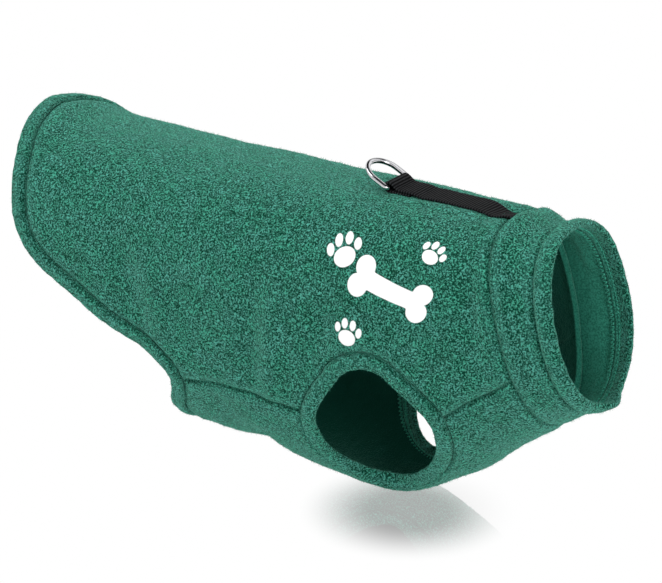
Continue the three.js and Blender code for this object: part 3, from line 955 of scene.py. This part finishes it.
# %% [markdown]
# ## Overlocked seams inside
# Inside, the raw edges are finished with an overlock stitch: threads that zigzag over them.
# It shows inside the collar and the armholes, at the edge of each band's inner layer, with
# a second row of stitches beside it. A thin round thread follows a zigzag beside each
# seam. At the neck seam the joined edges stand up inside as a soft ridge.

# %% Overlock
THREAD = dict(radius=0.42, pitch=2.6, per_pitch=8, sides=6)
EDGE_STITCH = dict(across=-2.4, swing=1.2, out=BAND["inner"] - 0.25)
ROW_STITCH = dict(across=STITCH_ROWS["places"][1], swing=0.3, out=BAND["inner"] + 0.25)
RIDGE_TOP = -WALL - 1.0


def thread_tube(name, points, radius, sides):
    """A round thread along a closed path: at each point a circle in the plane square to it."""
    way = along_loop(points)
    side = unit(np.cross(way, [0.13, 0.31, 0.94]))
    other = np.cross(way, side)
    angle = full_circle(sides)[None, :, None]
    rings = points[:, None] + radius * (side[:, None] * np.cos(angle) + other[:, None] * np.sin(angle))
    return closed_mesh(name, rings)


def stitches(name, placer, turns, across, swing, out):
    """A zigzag thread beside a seam: the swing is a sine of the number of steps."""
    step = np.arange(len(turns)) * 2 * math.pi / THREAD["per_pitch"]
    offset = across + swing * np.sin(step)
    lift = out + 0.3 * np.cos(step)
    points = placer(turns)(offset[:, None], lift[:, None])[:, 0]
    return thread_tube(name, points, THREAD["radius"], THREAD["sides"])


def seam_stitches(name, seam):
    """Both rows of stitches inside one bound edge."""
    seam_at, side, upright = SEAMS[seam]
    turns = even_turns(seam_at, THREAD["pitch"] / THREAD["per_pitch"])
    placer = lambda at: seam_placer(seam_at, at, side, upright)
    return [stitches(f"{name}_{kind}", placer, turns, **row)
            for kind, row in (("overlock", EDGE_STITCH), ("row", ROW_STITCH))]


def ridge(name, station, height, thick):
    """The joined edges at the neck seam: a flat oval section that stands inwards."""
    turns = neck_turns(station, BAND_STEP)
    angle = full_circle(14)[None, :]
    across = thick / 2 * np.cos(angle)
    out = RIDGE_TOP - height / 2 + height / 2 * np.sin(angle)
    place = neck_placer(station, turns)
    points = place(across, out)
    x = np.broadcast_to(station + across, points.shape[:2])
    points = points + 0.5 * lumps(points)[..., None] * [0.0, 1.0, 0.0]
    chart = chart_of(x, turns[:, None], 0.0)
    return closed_mesh(name, points, chart, closing=(0.0, 2 * chart_length[-1], 0.0))


neck_step = neck_turns(COLLAR_SEAM, THREAD["pitch"] / THREAD["per_pitch"])
rim_placer = lambda at: neck_placer(COLLAR_SEAM, at)
threads = [
    stitches("rim_overlock", rim_placer, neck_step, **EDGE_STITCH),
    stitches("rim_row", rim_placer, neck_step, **ROW_STITCH),
    *seam_stitches("armhole_right", "armhole_right"),
    *seam_stitches("armhole_left", "armhole_left"),
    *seam_stitches("hem", "hem"),
]
neck_ridge = ridge("neck_ridge", NECK_SEAM, 4.5, 2.0)

# %% [markdown]
# ## Loose fibres
# Brushed fleece has a haze of loose fibres. It is hardly seen where the cloth faces us, but
# it makes every outline soft and a little lighter. Each fibre is a needle with three sides,
# rooted at a random place of an outer face and leaning a random way. Ink holds the pile
# down, so no fibre stands on the print, and the places of the print's shapes come first.

# %% Loose fibres
BONE = dict(centre=(8.0, 78.0), turn=-24.0, half_length=21.0, half_width=5.6, knob=6.7, knob_out=5.8)
PAWS = [
    dict(centre=(-26.0, 56.0), turn=18.0, size=1.25),
    dict(centre=(35.0, 54.0), turn=-34.0, size=0.95),
    dict(centre=(-20.0, 102.0), turn=-12.0, size=0.95),
]
PRINT_MARGIN = 2.0
PAW_REACH = 8.5
FIBRES = dict(count=45000, length=(0.7, 1.7), root=0.11, lean=0.75, sunk=0.15, seed=5)


def turned_place(along, around, centre, turn):
    """Places in mm on the chart as seen from a shape's own middle and direction."""
    du, dv = along - centre[0], centre[1] - around
    cosine, sine = math.cos(math.radians(turn)), math.sin(math.radians(turn))
    return du * cosine + dv * sine, dv * cosine - du * sine


def under_print(along, around):
    """True where the print's ink holds the pile down, so that no loose fibre stands there."""
    u, v = np.abs(turned_place(along, around, BONE["centre"], BONE["turn"]))
    inked = (u < BONE["half_length"]) & (v < BONE["half_width"] + PRINT_MARGIN)
    inked |= np.hypot(u - BONE["half_length"], v - BONE["knob_out"]) < BONE["knob"] + PRINT_MARGIN
    for paw in PAWS:
        u, v = turned_place(along, around, paw["centre"], paw["turn"])
        inked |= np.hypot(u, v) < PAW_REACH * paw["size"] + PRINT_MARGIN
    return inked


def outer_faces(piece):
    """Corner places of a piece's outer faces in mm, told apart by the chart's third value."""
    mesh = piece.data
    place = np.empty(len(mesh.vertices) * 3)
    mesh.vertices.foreach_get("co", place)
    corner = np.empty(len(mesh.loops), np.int32)
    mesh.loops.foreach_get("vertex_index", corner)
    side = np.empty(len(mesh.loops) * 3)
    mesh.attributes["chart"].data.foreach_get("vector", side)
    chart = side.reshape(-1, 4, 3)
    outer = chart[:, :, 2].min(axis=1) > 0.9
    if piece is back:
        outer &= ~under_print(*chart[:, :, :2].mean(axis=1).T)
    return place.reshape(-1, 3)[corner.reshape(-1, 4)][outer] / MM


def fibres(name, pieces):
    """One mesh of needles: faces are drawn by chance with their area as weight, a root lies
    between the four corners by two random shares, and the tip stands off along the normal."""
    rng = np.random.default_rng(FIBRES["seed"])
    quads = np.concatenate([outer_faces(piece) for piece in pieces])
    normal = np.cross(quads[:, 2] - quads[:, 0], quads[:, 3] - quads[:, 1])
    area = np.linalg.norm(normal, axis=1)
    drawn = rng.choice(len(quads), FIBRES["count"], p=area / area.sum())
    u, v = rng.uniform(0, 1, (2, FIBRES["count"], 1))
    a, b, c, d = (quads[drawn, k] for k in range(4))
    root = (a * (1 - u) + b * u) * (1 - v) + (d * (1 - u) + c * u) * v
    way = unit(unit(normal[drawn]) + FIBRES["lean"] * rng.normal(size=root.shape))
    side = unit(np.cross(way, rng.normal(size=root.shape)))
    other = np.cross(way, side)
    angle = np.radians([0.0, 120.0, 240.0])[None, :, None]
    low = root - FIBRES["sunk"] * way
    base = low[:, None] + FIBRES["root"] * (side[:, None] * np.cos(angle) + other[:, None] * np.sin(angle))
    tip = root + way * rng.uniform(*FIBRES["length"], (FIBRES["count"], 1))
    points = np.concatenate([base, tip[:, None]], axis=1).reshape(-1, 3) * MM
    pattern = np.array([[0, 1, 3], [1, 2, 3], [2, 0, 3], [2, 1, 0]])
    faces = (np.arange(FIBRES["count"])[:, None, None] * 4 + pattern).reshape(-1, 3)
    print(name, len(points), "points", len(faces), "triangles")
    return new_object(name, points, faces)


haze = fibres("loose_fibres", [back, chest, hem_band, arm_right, arm_left, collar, collar_band])

# %% [markdown]
# ## Riding, replacing and cloth sizes
# Each finished piece rides on its body and stands for one node of the frame. Every sheet
# also says what size it was cut to, with 5 mm added along the seams, and what it is sewn
# to. Nothing else holds the cloth up here, because nobody is in the coat.

# %% Bodies, nodes and flat sizes
CUTS = {
    "back_panel": (back, (0.345, 0.375), [chest], dict(area=0.098)),
    "chest_panel": (chest, (0.185, 0.245), [back], dict(area=0.037)),
    "hem_band": (hem_band, (0.030, 0.62), [back, chest], {}),
    "armhole_band_right": (arm_right, (0.030, 0.29), [back, chest], {}),
    "armhole_band_left": (arm_left, (0.030, 0.29), [back, chest], {}),
    "collar": (collar, (0.032, 0.33), [back, chest], {}),
    "collar_band": (collar_band, (0.030, 0.33), [collar], {}),
}
for node, (piece, flat, sewn_to, cut_area) in CUTS.items():
    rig.ride(piece, "coat")
    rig.replaces(piece, node)
    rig.slot(piece, "fleece")
    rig.sheet(piece, flat=flat, held="stretched", rests_on=[other.name for other in sewn_to], **cut_area)
for thread in threads + [neck_ridge, haze]:
    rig.ride(thread, "coat")
    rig.slot(thread, "fleece")
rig.ride(strap_cloth, "coat")
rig.replaces(strap_cloth, "leash_strap")
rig.slot(strap_cloth, "webbing")
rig.sheet(strap_cloth, flat=(0.020, 0.120), held="laid", rests_on=["back_panel_cloth"])
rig.ride(wire_ring, "ring")
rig.replaces(wire_ring, "d_ring")
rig.slot(wire_ring, "ring")

# %% [markdown]
# ## Writing materials as sums
# A material is a small graph of nodes. It reads best as arithmetic, so one class wraps a
# node's output: adding or multiplying two of them adds a Math node. Every other node comes
# from one method, which takes the node's type, its settings and what goes into its sockets.


# %% Wires
class Wire:
    """One output of a node. Arithmetic on wires adds Math nodes to the same material."""

    def __init__(self, tree, socket=None):
        self.tree, self.socket = tree, socket

    def node(self, kind, settings=None, inputs=None, out=0):
        """Adds a node: its settings first, then a value or a wire for each named socket."""
        made = self.tree.nodes.new(kind)
        for name, value in (settings or {}).items():
            if name == "stops":
                fill_ramp(made.color_ramp, value)
            else:
                setattr(made, name, value)
        for key, value in (inputs or {}).items():
            if isinstance(value, Wire):
                self.tree.links.new(value.socket, made.inputs[key])
            else:
                made.inputs[key].default_value = value
        return Wire(self.tree, made.outputs[out])

    def math(self, operation, *terms):
        return self.node("ShaderNodeMath", {"operation": operation}, dict(enumerate(terms)))

    def noise(self, place, scale, detail, **more):
        inputs = {"Vector": place, "Scale": scale, "Detail": detail, **more}
        return self.node("ShaderNodeTexNoise", None, inputs)

    def place(self):
        """Where a point of the piece is, in metres."""
        return self.node("ShaderNodeTexCoord", out="Object")

    def chart(self, count):
        """The first values of the piece's chart, each as its own wire."""
        whole = self.node("ShaderNodeAttribute", {"attribute_name": "chart"}, out="Vector")
        return [self.node("ShaderNodeSeparateXYZ", None, {0: whole}, out=k) for k in range(count)]

    def __add__(self, other):
        return self.math("ADD", self, other)

    def __sub__(self, other):
        return self.math("SUBTRACT", self, other)

    def __rsub__(self, other):
        return self.math("SUBTRACT", other, self)

    def __mul__(self, other):
        return self.math("MULTIPLY", self, other)

    def __truediv__(self, other):
        return self.math("DIVIDE", self, other)

    def __abs__(self):
        return self.math("ABSOLUTE", self)

    __radd__ = __add__
    __rmul__ = __mul__


def fill_ramp(ramp, stops):
    """Sets a ramp's stops from (place, colour) pairs."""
    for place, colour in stops[2:]:
        ramp.elements.new(place)
    for element, (place, colour) in zip(ramp.elements, stops):
        element.position = place
        element.color = (*colour, 1.0)


def new_finish(name):
    """An empty material: its first wire, its shader and the function that ends it."""
    material = bpy.data.materials.new(name)
    material.use_nodes = True
    tree = material.node_tree
    shader = next(n for n in tree.nodes if n.type == "BSDF_PRINCIPLED")
    return material, Wire(tree), shader


def connect(start, shader, **values):
    """Links wires to the shader's sockets and sets constants on them. Underscores in the
    names stand for spaces."""
    for key, value in values.items():
        socket = shader.inputs[key.replace("_", " ")]
        if isinstance(value, Wire):
            start.tree.links.new(value.socket, socket)
        else:
            socket.default_value = value


def linear(red, green, blue):
    """A colour given as the eye sees it, 0 to 255, as the light values that shaders use."""
    values = np.array([red, green, blue]) / 255
    return tuple(np.where(values <= 0.04045, values / 12.92, ((values + 0.055) / 1.055) ** 2.4))


def mix_colours(start, mask, first, second):
    """The first colour where the mask is 0 and the second where it is 1."""
    def as_input(colour):
        return colour if isinstance(colour, Wire) else (*colour, 1.0)

    inputs = {0: mask, 6: as_input(first), 7: as_input(second)}
    return start.node("ShaderNodeMix", {"data_type": "RGBA"}, inputs, out=2)


def ramped(start, value, low, high):
    """0 below low, 1 above high and a smooth step between them."""
    settings = {"interpolation_type": "SMOOTHSTEP"}
    inputs = {"Value": value, "From Min": low, "From Max": high}
    return start.node("ShaderNodeMapRange", settings, inputs)


def bumped(start, height, strength, distance):
    """The surface's direction, tilted by a height; the distance is in metres."""
    inputs = {"Strength": strength, "Distance": distance, "Height": height}
    return start.node("ShaderNodeBump", None, inputs)


print("wires ready")

# %% [markdown]
# ## A print on the flank
# The right flank carries a white rubber print. Here it is a plain bone with three paw
# marks round it. Each shape is a formula on the cloth's chart: a number that is below zero
# inside the shape. Ovals make the paws, and the bone is a bar with four round ends, drawn
# once and mirrored by taking the size of each coordinate.

# %% Print shapes
PAW_PAD = ((0.0, -3.4), (6.0, 4.7))
PAW_TOES = [((2.9, 4.9), (2.2, 3.2)), ((7.6, 1.2), (2.1, 3.0))]
PRINT_EDGE = 0.25


def oval(u, v, centre, radii):
    """Below zero inside an oval: its length in radii, less one, times the smaller radius."""
    across, up = (u - centre[0]) / radii[0], (v - centre[1]) / radii[1]
    reach = (across * across + up * up).math("SQRT", across * across + up * up)
    return (reach - 1.0) * min(radii)


def bone_shape(along, around):
    """A bar and four round knobs: the smallest of their distances."""
    u, v = turned_place(along, around, BONE["centre"], BONE["turn"])
    u, v = abs(u), abs(v)
    bar = (u - BONE["half_length"]).math("MAXIMUM", u - BONE["half_length"], v - BONE["half_width"])
    knob = oval(u, v, (BONE["half_length"], BONE["knob_out"]), (BONE["knob"], BONE["knob"]))
    return bar.math("SMOOTH_MIN", bar, knob, 1.6)


def paw_shape(along, around, paw):
    """A broad pad and four toes; the two toes on one side are mirrored to the other."""
    u, v = turned_place(along, around, paw["centre"], paw["turn"])
    u, v = abs(u) / paw["size"], v / paw["size"]
    shape = oval(u, v, *PAW_PAD)
    for centre, radii in PAW_TOES:
        toe = oval(u, v, centre, radii)
        shape = shape.math("MINIMUM", shape, toe)
    return shape * paw["size"]


def print_mask(start, along, around, outside):
    """1 on the print and 0 elsewhere, only on the outer face."""
    shape = bone_shape(along, around)
    for paw in PAWS:
        shape = shape.math("MINIMUM", shape, paw_shape(along, around, paw))
    return ramped(start, 0.0 - shape, -PRINT_EDGE, PRINT_EDGE) * outside


print("print of", 1 + len(PAWS), "shapes")

# %% [markdown]
# ## Polar fleece
# Polar fleece is knitted and brushed until its pile curls into small soft knots, about a
# millimetre apart. The knots catch the light and the gaps between them stay dark, and that
# speckle is the cloth's whole look; the colour holds it as painted shade in the gaps and a
# painted highlight on the tips. Noise in the cloth's own space gives the knots, and finer
# noise gives the fibres. Loose fibres also catch light where the cloth turns away, which is
# what the sheen is for. Inside the coat the pile is shorter, and deep inside the panels
# painted shade darkens the colour. At the seams there is painted shade in the groove and a
# painted highlight beside it.

# %% Fleece
FLEECE = dict(
    # gap and tip: painted shade in the gaps between knots, painted highlight on their tips
    gap=linear(0, 58, 42),
    tip=linear(72, 168, 142),
    cool_tip=linear(84, 168, 151),
    # seam: painted shade in the seam grooves and along the stitch rows
    seam=linear(2, 60, 46),
    # deep and inside: painted shade inside the coat, darkest deep in the trunk, lighter towards the collar
    deep=linear(14, 78, 64),
    inside=linear(82, 192, 164),
    inside_gap=0.4,
    ink=linear(250, 251, 250),
    curl=1000.0,
    fibre=2400.0,
    fibre_share=0.6,
    curl_range=(0.3, 0.72),
)
FIBRE_COLOURS = (linear(40, 128, 106), linear(104, 190, 166))
# stations over which the painted shade inside a panel gives way to the lighter inside colour
PAINTED_SHADE_INSIDE = (50.0, 104.0)
PATCHES = dict(scale=95.0, detail=2.0)
MIDDLE_OF_NOISE = (0.35, 0.65)
# painted highlight on the cloth just beside a seam, where it stands up
PAINTED_LIGHT_BESIDE_SEAM = dict(rise=(0.3, 0.6), fall=(0.7, 0.9), share=0.12)
# how strongly painted shade darkens the seam grooves and the stitch rows
GROOVE_SHADE = dict(start=0.93, panel=0.25, band=0.9, band_outside=0.5)
INK_OVER_PILE = dict(flattens=0.85, level=0.5)
PILE_BUMP = dict(strength=0.9, distance=0.0006, inside=0.4)


def knots(start, place):
    """Height of the pile, 0 to 1: noise with waves as long as the curls, and finer fibres."""
    curls = start.noise(place, FLEECE["curl"], 0.6, Roughness=0.5)
    fibres = start.noise(place, FLEECE["fibre"], 1.0)
    return ramped(start, curls + (fibres - 0.5) * FLEECE["fibre_share"], *FLEECE["curl_range"])


def fleece_finish(name, printed=False, panel=True):
    """Fleece: knots mix the colours of gap and tip, with painted shade in the gaps and a painted
    highlight on the tips, and raise the surface. Seams get painted shade in the groove and along
    the stitch rows, and a painted highlight beside it. Deep inside a panel painted shade makes the
    colour darker. The print covers the colours and flattens the knots."""
    material, start, shader = new_finish(name)
    place = start.place()
    along, around, outside = start.chart(3)
    near_seam = start.node("ShaderNodeAttribute", {"attribute_name": "seam"}, out="Fac")
    height = knots(start, place)
    patches = ramped(start, start.noise(place, **PATCHES), *MIDDLE_OF_NOISE)
    tip = mix_colours(start, patches, FLEECE["tip"], FLEECE["cool_tip"])
    # the gaps between knots darker and their tips lighter: painted shade and painted highlight
    nap = mix_colours(start, height * height, FLEECE["gap"], tip)
    # inside too, the gaps between knots get painted shade
    lit = FLEECE["inside_gap"] + (1 - FLEECE["inside_gap"]) * height
    # painted shade deep inside a panel, fading towards the collar
    if panel:
        lit = lit * ramped(start, along, *PAINTED_SHADE_INSIDE)
    inner = mix_colours(start, lit, FLEECE["deep"], FLEECE["inside"])
    colour = mix_colours(start, outside, inner, nap)
    # a painted highlight just beside the seams, in the pale tip colour
    rise, fall = (ramped(start, near_seam, *PAINTED_LIGHT_BESIDE_SEAM[key]) for key in ("rise", "fall"))
    beside = PAINTED_LIGHT_BESIDE_SEAM["share"] * (rise * (1.0 - fall)) * outside
    colour = mix_colours(start, beside, colour, FLEECE["cool_tip"])
    if panel:
        weight = GROOVE_SHADE["panel"] + GROOVE_SHADE["panel"] * outside
    else:
        weight = GROOVE_SHADE["band"] - GROOVE_SHADE["band_outside"] * outside
    # painted shade in the seam groove and along the stitch rows
    shade = ramped(start, near_seam, GROOVE_SHADE["start"], 1.0) * weight
    colour = mix_colours(start, shade, colour, FLEECE["seam"])
    relief = height * (PILE_BUMP["inside"] + (1 - PILE_BUMP["inside"]) * outside)
    if printed:
        mask = print_mask(start, along, around, outside)
        colour = mix_colours(start, mask, colour, FLEECE["ink"])
        relief = relief * (1.0 - INK_OVER_PILE["flattens"] * mask) + INK_OVER_PILE["level"] * mask
    normal = bumped(start, relief, PILE_BUMP["strength"], PILE_BUMP["distance"])
    connect(start, shader, Base_Color=colour, Normal=normal, Roughness=0.95, Specular_IOR_Level=0.1,
            Sheen_Weight=0.7, Sheen_Roughness=0.35, Sheen_Tint=(*linear(140, 222, 200), 1.0))
    return material


def fibre_finish(name):
    """Single fibres: paler than the cloth, with a shade that drifts over the coat."""
    material, start, shader = new_finish(name)
    drift = ramped(start, start.noise(start.place(), 300.0, 1.0), *MIDDLE_OF_NOISE)
    colour = mix_colours(start, drift, *FIBRE_COLOURS)
    connect(start, shader, Base_Color=colour, Roughness=1.0, Specular_IOR_Level=0.0)
    return material


FINISHES = {
    fibre_finish("single_fibres"): [haze],
    fleece_finish("fleece_with_print", printed=True): [back],
    fleece_finish("fleece_panel"): [chest, collar, neck_ridge],
    fleece_finish("fleece_binding", panel=False): [hem_band, arm_right, arm_left, collar_band, *threads],
}
for finish, pieces in FINISHES.items():
    for piece in pieces:
        piece.data.materials.append(finish)
    print(finish.name, "on", len(pieces), "pieces")

# %% [markdown]
# ## Webbing
# The strap is black synthetic webbing. Its ribs are in the mesh already; the material
# adds the fine threads that run along it, a soft shine and a little lint, and paints the
# crests of threads and ribs lighter and the hollows darker: painted highlight and painted shade.

# %% Webbing
# shade and crest: painted shade in the hollows of the weave, painted highlight on its crests
WEAVE = dict(warp=1.1, shade=linear(1, 1, 2), crest=linear(48, 50, 52))


def webbing_finish(name):
    """Black webbing: threads along the strap from a sine of its width, broken by noise. The
    crests are painted lighter and the hollows darker: painted highlight and painted shade.
    """
    material, start, shader = new_finish(name)
    along, across = start.chart(2)
    lint = start.noise(start.place(), 900.0, 3.0)
    warp = start.math("SINE", across * (2 * math.pi / WEAVE["warp"]) + lint * 2.0)
    ribs = start.math("COSINE", along * (2 * math.pi / RIB["pitch"]))
    height = 0.5 + 0.12 * warp + 0.38 * ribs
    # painted highlight on the crests of ribs and threads, painted shade between them
    lighter = ramped(start, height + (lint - 0.5) * 0.5, 0.45, 1.0)
    colour = mix_colours(start, lighter, WEAVE["shade"], WEAVE["crest"])
    normal = bumped(start, height, 0.8, 0.0003)
    connect(start, shader, Base_Color=colour, Normal=normal, Roughness=0.75, Specular_IOR_Level=0.1)
    return material


strap_cloth.data.materials.append(webbing_finish("black_webbing"))

# %% [markdown]
# ## Chrome
# A polished ring shows the room more than itself: bright where it mirrors the lights, dark
# where it mirrors the gaps between them. Dark lines along the wire are also painted into its
# colour, a painted reflection of those gaps. Handling leaves a slight haze, so the roughness
# drifts a little.


# %% Chrome
# dark: painted reflection of the gaps between the lamps
CHROME = dict(light=linear(222, 222, 225), dark=linear(38, 38, 42))


def chrome_finish(name):
    """Polished chrome with a faint haze: roughness from broad noise. The dark lines along the
    wire are painted reflection: the base colour darkens in bands round the wire's section,
    standing for the gaps between the lamps."""
    material, start, shader = new_finish(name)
    film = start.noise(start.place(), 140.0, 3.0)
    [line] = start.chart(1)
    # painted reflection: dark bands round the wire, in its base colour
    dark = ramped(start, line + (film - 0.5) * 0.7, 0.3, 0.75)
    colour = mix_colours(start, dark, CHROME["light"], CHROME["dark"])
    connect(start, shader, Roughness=0.03 + 0.06 * film, Base_Color=colour, Metallic=1.0)
    return material


wire_ring.data.materials.append(chrome_finish("polished_chrome"))

# %% [markdown]
# ## Floor and light
# A product photograph like this is taken on a white sweep: a floor that curves up behind
# the object, so no horizon shows. The floor is a little glossy near the coat, so its lowest
# part leaves a faint reflection. The room is white nearly all round, like a light tent. A
# large soft light stands above on the left and a weaker one by the camera. Two dark belts
# in the room do nothing for the cloth, but polished metal needs them: chrome looks like
# chrome only with dark lines to mirror.

# %% Floor
FLOOR_DROP = 0.3
SWEEP = dict(front=-2.2, bend=2.2, radius=1.2, height=2.6, half_width=5.0)
GLOSS = dict(centre=(0.0, -0.03), near=0.02, far=0.068, strength=0.6, roughness=0.03)


def sweep(name, floor_z):
    """A floor that turns up into a wall through a quarter circle, square to the camera."""
    angle = np.radians(np.linspace(-90, 0, 24))[1:]
    bend = SWEEP["bend"] + SWEEP["radius"] * np.cos(angle)
    depth = np.concatenate([[SWEEP["front"], SWEEP["bend"]], bend, bend[-1:]])
    rise = SWEEP["radius"] * (1 + np.sin(angle))
    level = np.concatenate([[0.0, 0.0], rise, [SWEEP["height"]]]) + floor_z
    away = -np.array(Vector((backward.x, backward.y, 0.0)).normalized())
    sides = np.array([-1.0, 1.0])[:, None, None] * SWEEP["half_width"] * np.array(rightward)
    points = (away * depth[:, None] + np.array([0.0, 0.0, 1.0]) * level[:, None] + sides).reshape(-1, 3)
    step = np.arange(len(depth) - 1)
    count = len(depth)
    faces = np.stack([step, step + count, step + 1 + count, step + 1], axis=-1)
    obj = new_object(name, points, faces)
    obj.data.shade_smooth()
    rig.stage(obj)
    return obj


def lowest_point(pieces):
    return min(min(corner[2] for corner in piece.bound_box) for piece in pieces)


floor_z = lowest_point([chest, arm_right, arm_left]) - FLOOR_DROP * MM
floor = sweep("floor", floor_z)
white, start, shader = new_finish("white_sweep")
from_middle = start.node("ShaderNodeVectorMath", {"operation": "DISTANCE"},
                         {0: start.place(), 1: (*GLOSS["centre"], floor_z)}, out=1)
gloss = GLOSS["strength"] * (1.0 - ramped(start, from_middle, GLOSS["near"], GLOSS["far"]))
glow = start.node("ShaderNodeEmission", None, {"Color": (1.0, 1.0, 1.0, 1.0), "Strength": 1.0})
mirror = start.node("ShaderNodeBsdfGlossy", None, {"Roughness": GLOSS["roughness"]})
sheet = start.node("ShaderNodeMixShader", None, {0: gloss, 1: glow, 2: mirror})
white.node_tree.nodes.remove(shader)
white.node_tree.links.new(sheet.socket, white.node_tree.nodes["Material Output"].inputs["Surface"])
floor.data.materials.append(white)
print("floor at", round(floor_z, 4))

# %% Lights and room
LIGHTS = {
    "above_left": dict(place=(-0.9, -0.5, 1.7), size=(1.6, 1.2), power=22.0),
    "by_camera": dict(place=(1.6, -1.0, 0.5), size=(0.8, 0.8), power=10.0),
}
for name, light in LIGHTS.items():
    data = bpy.data.lights.new(name, "AREA")
    data.shape = "RECTANGLE"
    data.size, data.size_y = light["size"]
    data.energy = light["power"]
    lamp = bpy.data.objects.new(name, data)
    lamp.location = light["place"]
    aim = Vector((-0.08, 0.0, -0.09)) - lamp.location
    lamp.rotation_euler = aim.to_track_quat("-Z", "Y").to_euler()
    scene.collection.objects.link(lamp)

ROOM = dict(strength=1.0, white=(1.0, 1.0, 1.0), dark=(0.03, 0.03, 0.035))
BELTS = [(0.06, 0.09, 0.24, 0.27), (0.6, 0.63, 0.76, 0.8)]
world = bpy.data.worlds.new("studio")
world.use_nodes = True
room = Wire(world.node_tree)
way = room.node("ShaderNodeTexCoord", out="Generated")
height = room.node("ShaderNodeSeparateXYZ", None, {0: way}, out=2)
belts = 0.0 * height
for low, low_full, high_full, high in BELTS:
    belts = belts + ramped(room, height, low, low_full) * (1.0 - ramped(room, height, high_full, high))
background = world.node_tree.nodes["Background"]
room.tree.links.new(mix_colours(room, belts, ROOM["white"], ROOM["dark"]).socket, background.inputs["Color"])
background.inputs["Strength"].default_value = ROOM["strength"]
scene.world = world
scene.view_settings.view_transform = "Standard"

# %% Sizes and the end
visual_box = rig.bounds()
with open("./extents.json", "w") as out:
    json.dump({"cad": [list(c) for c in cad_box], "visual": [list(c) for c in visual_box]}, out)
print("visual box", [[round(v, 4) for v in corner] for corner in visual_box])
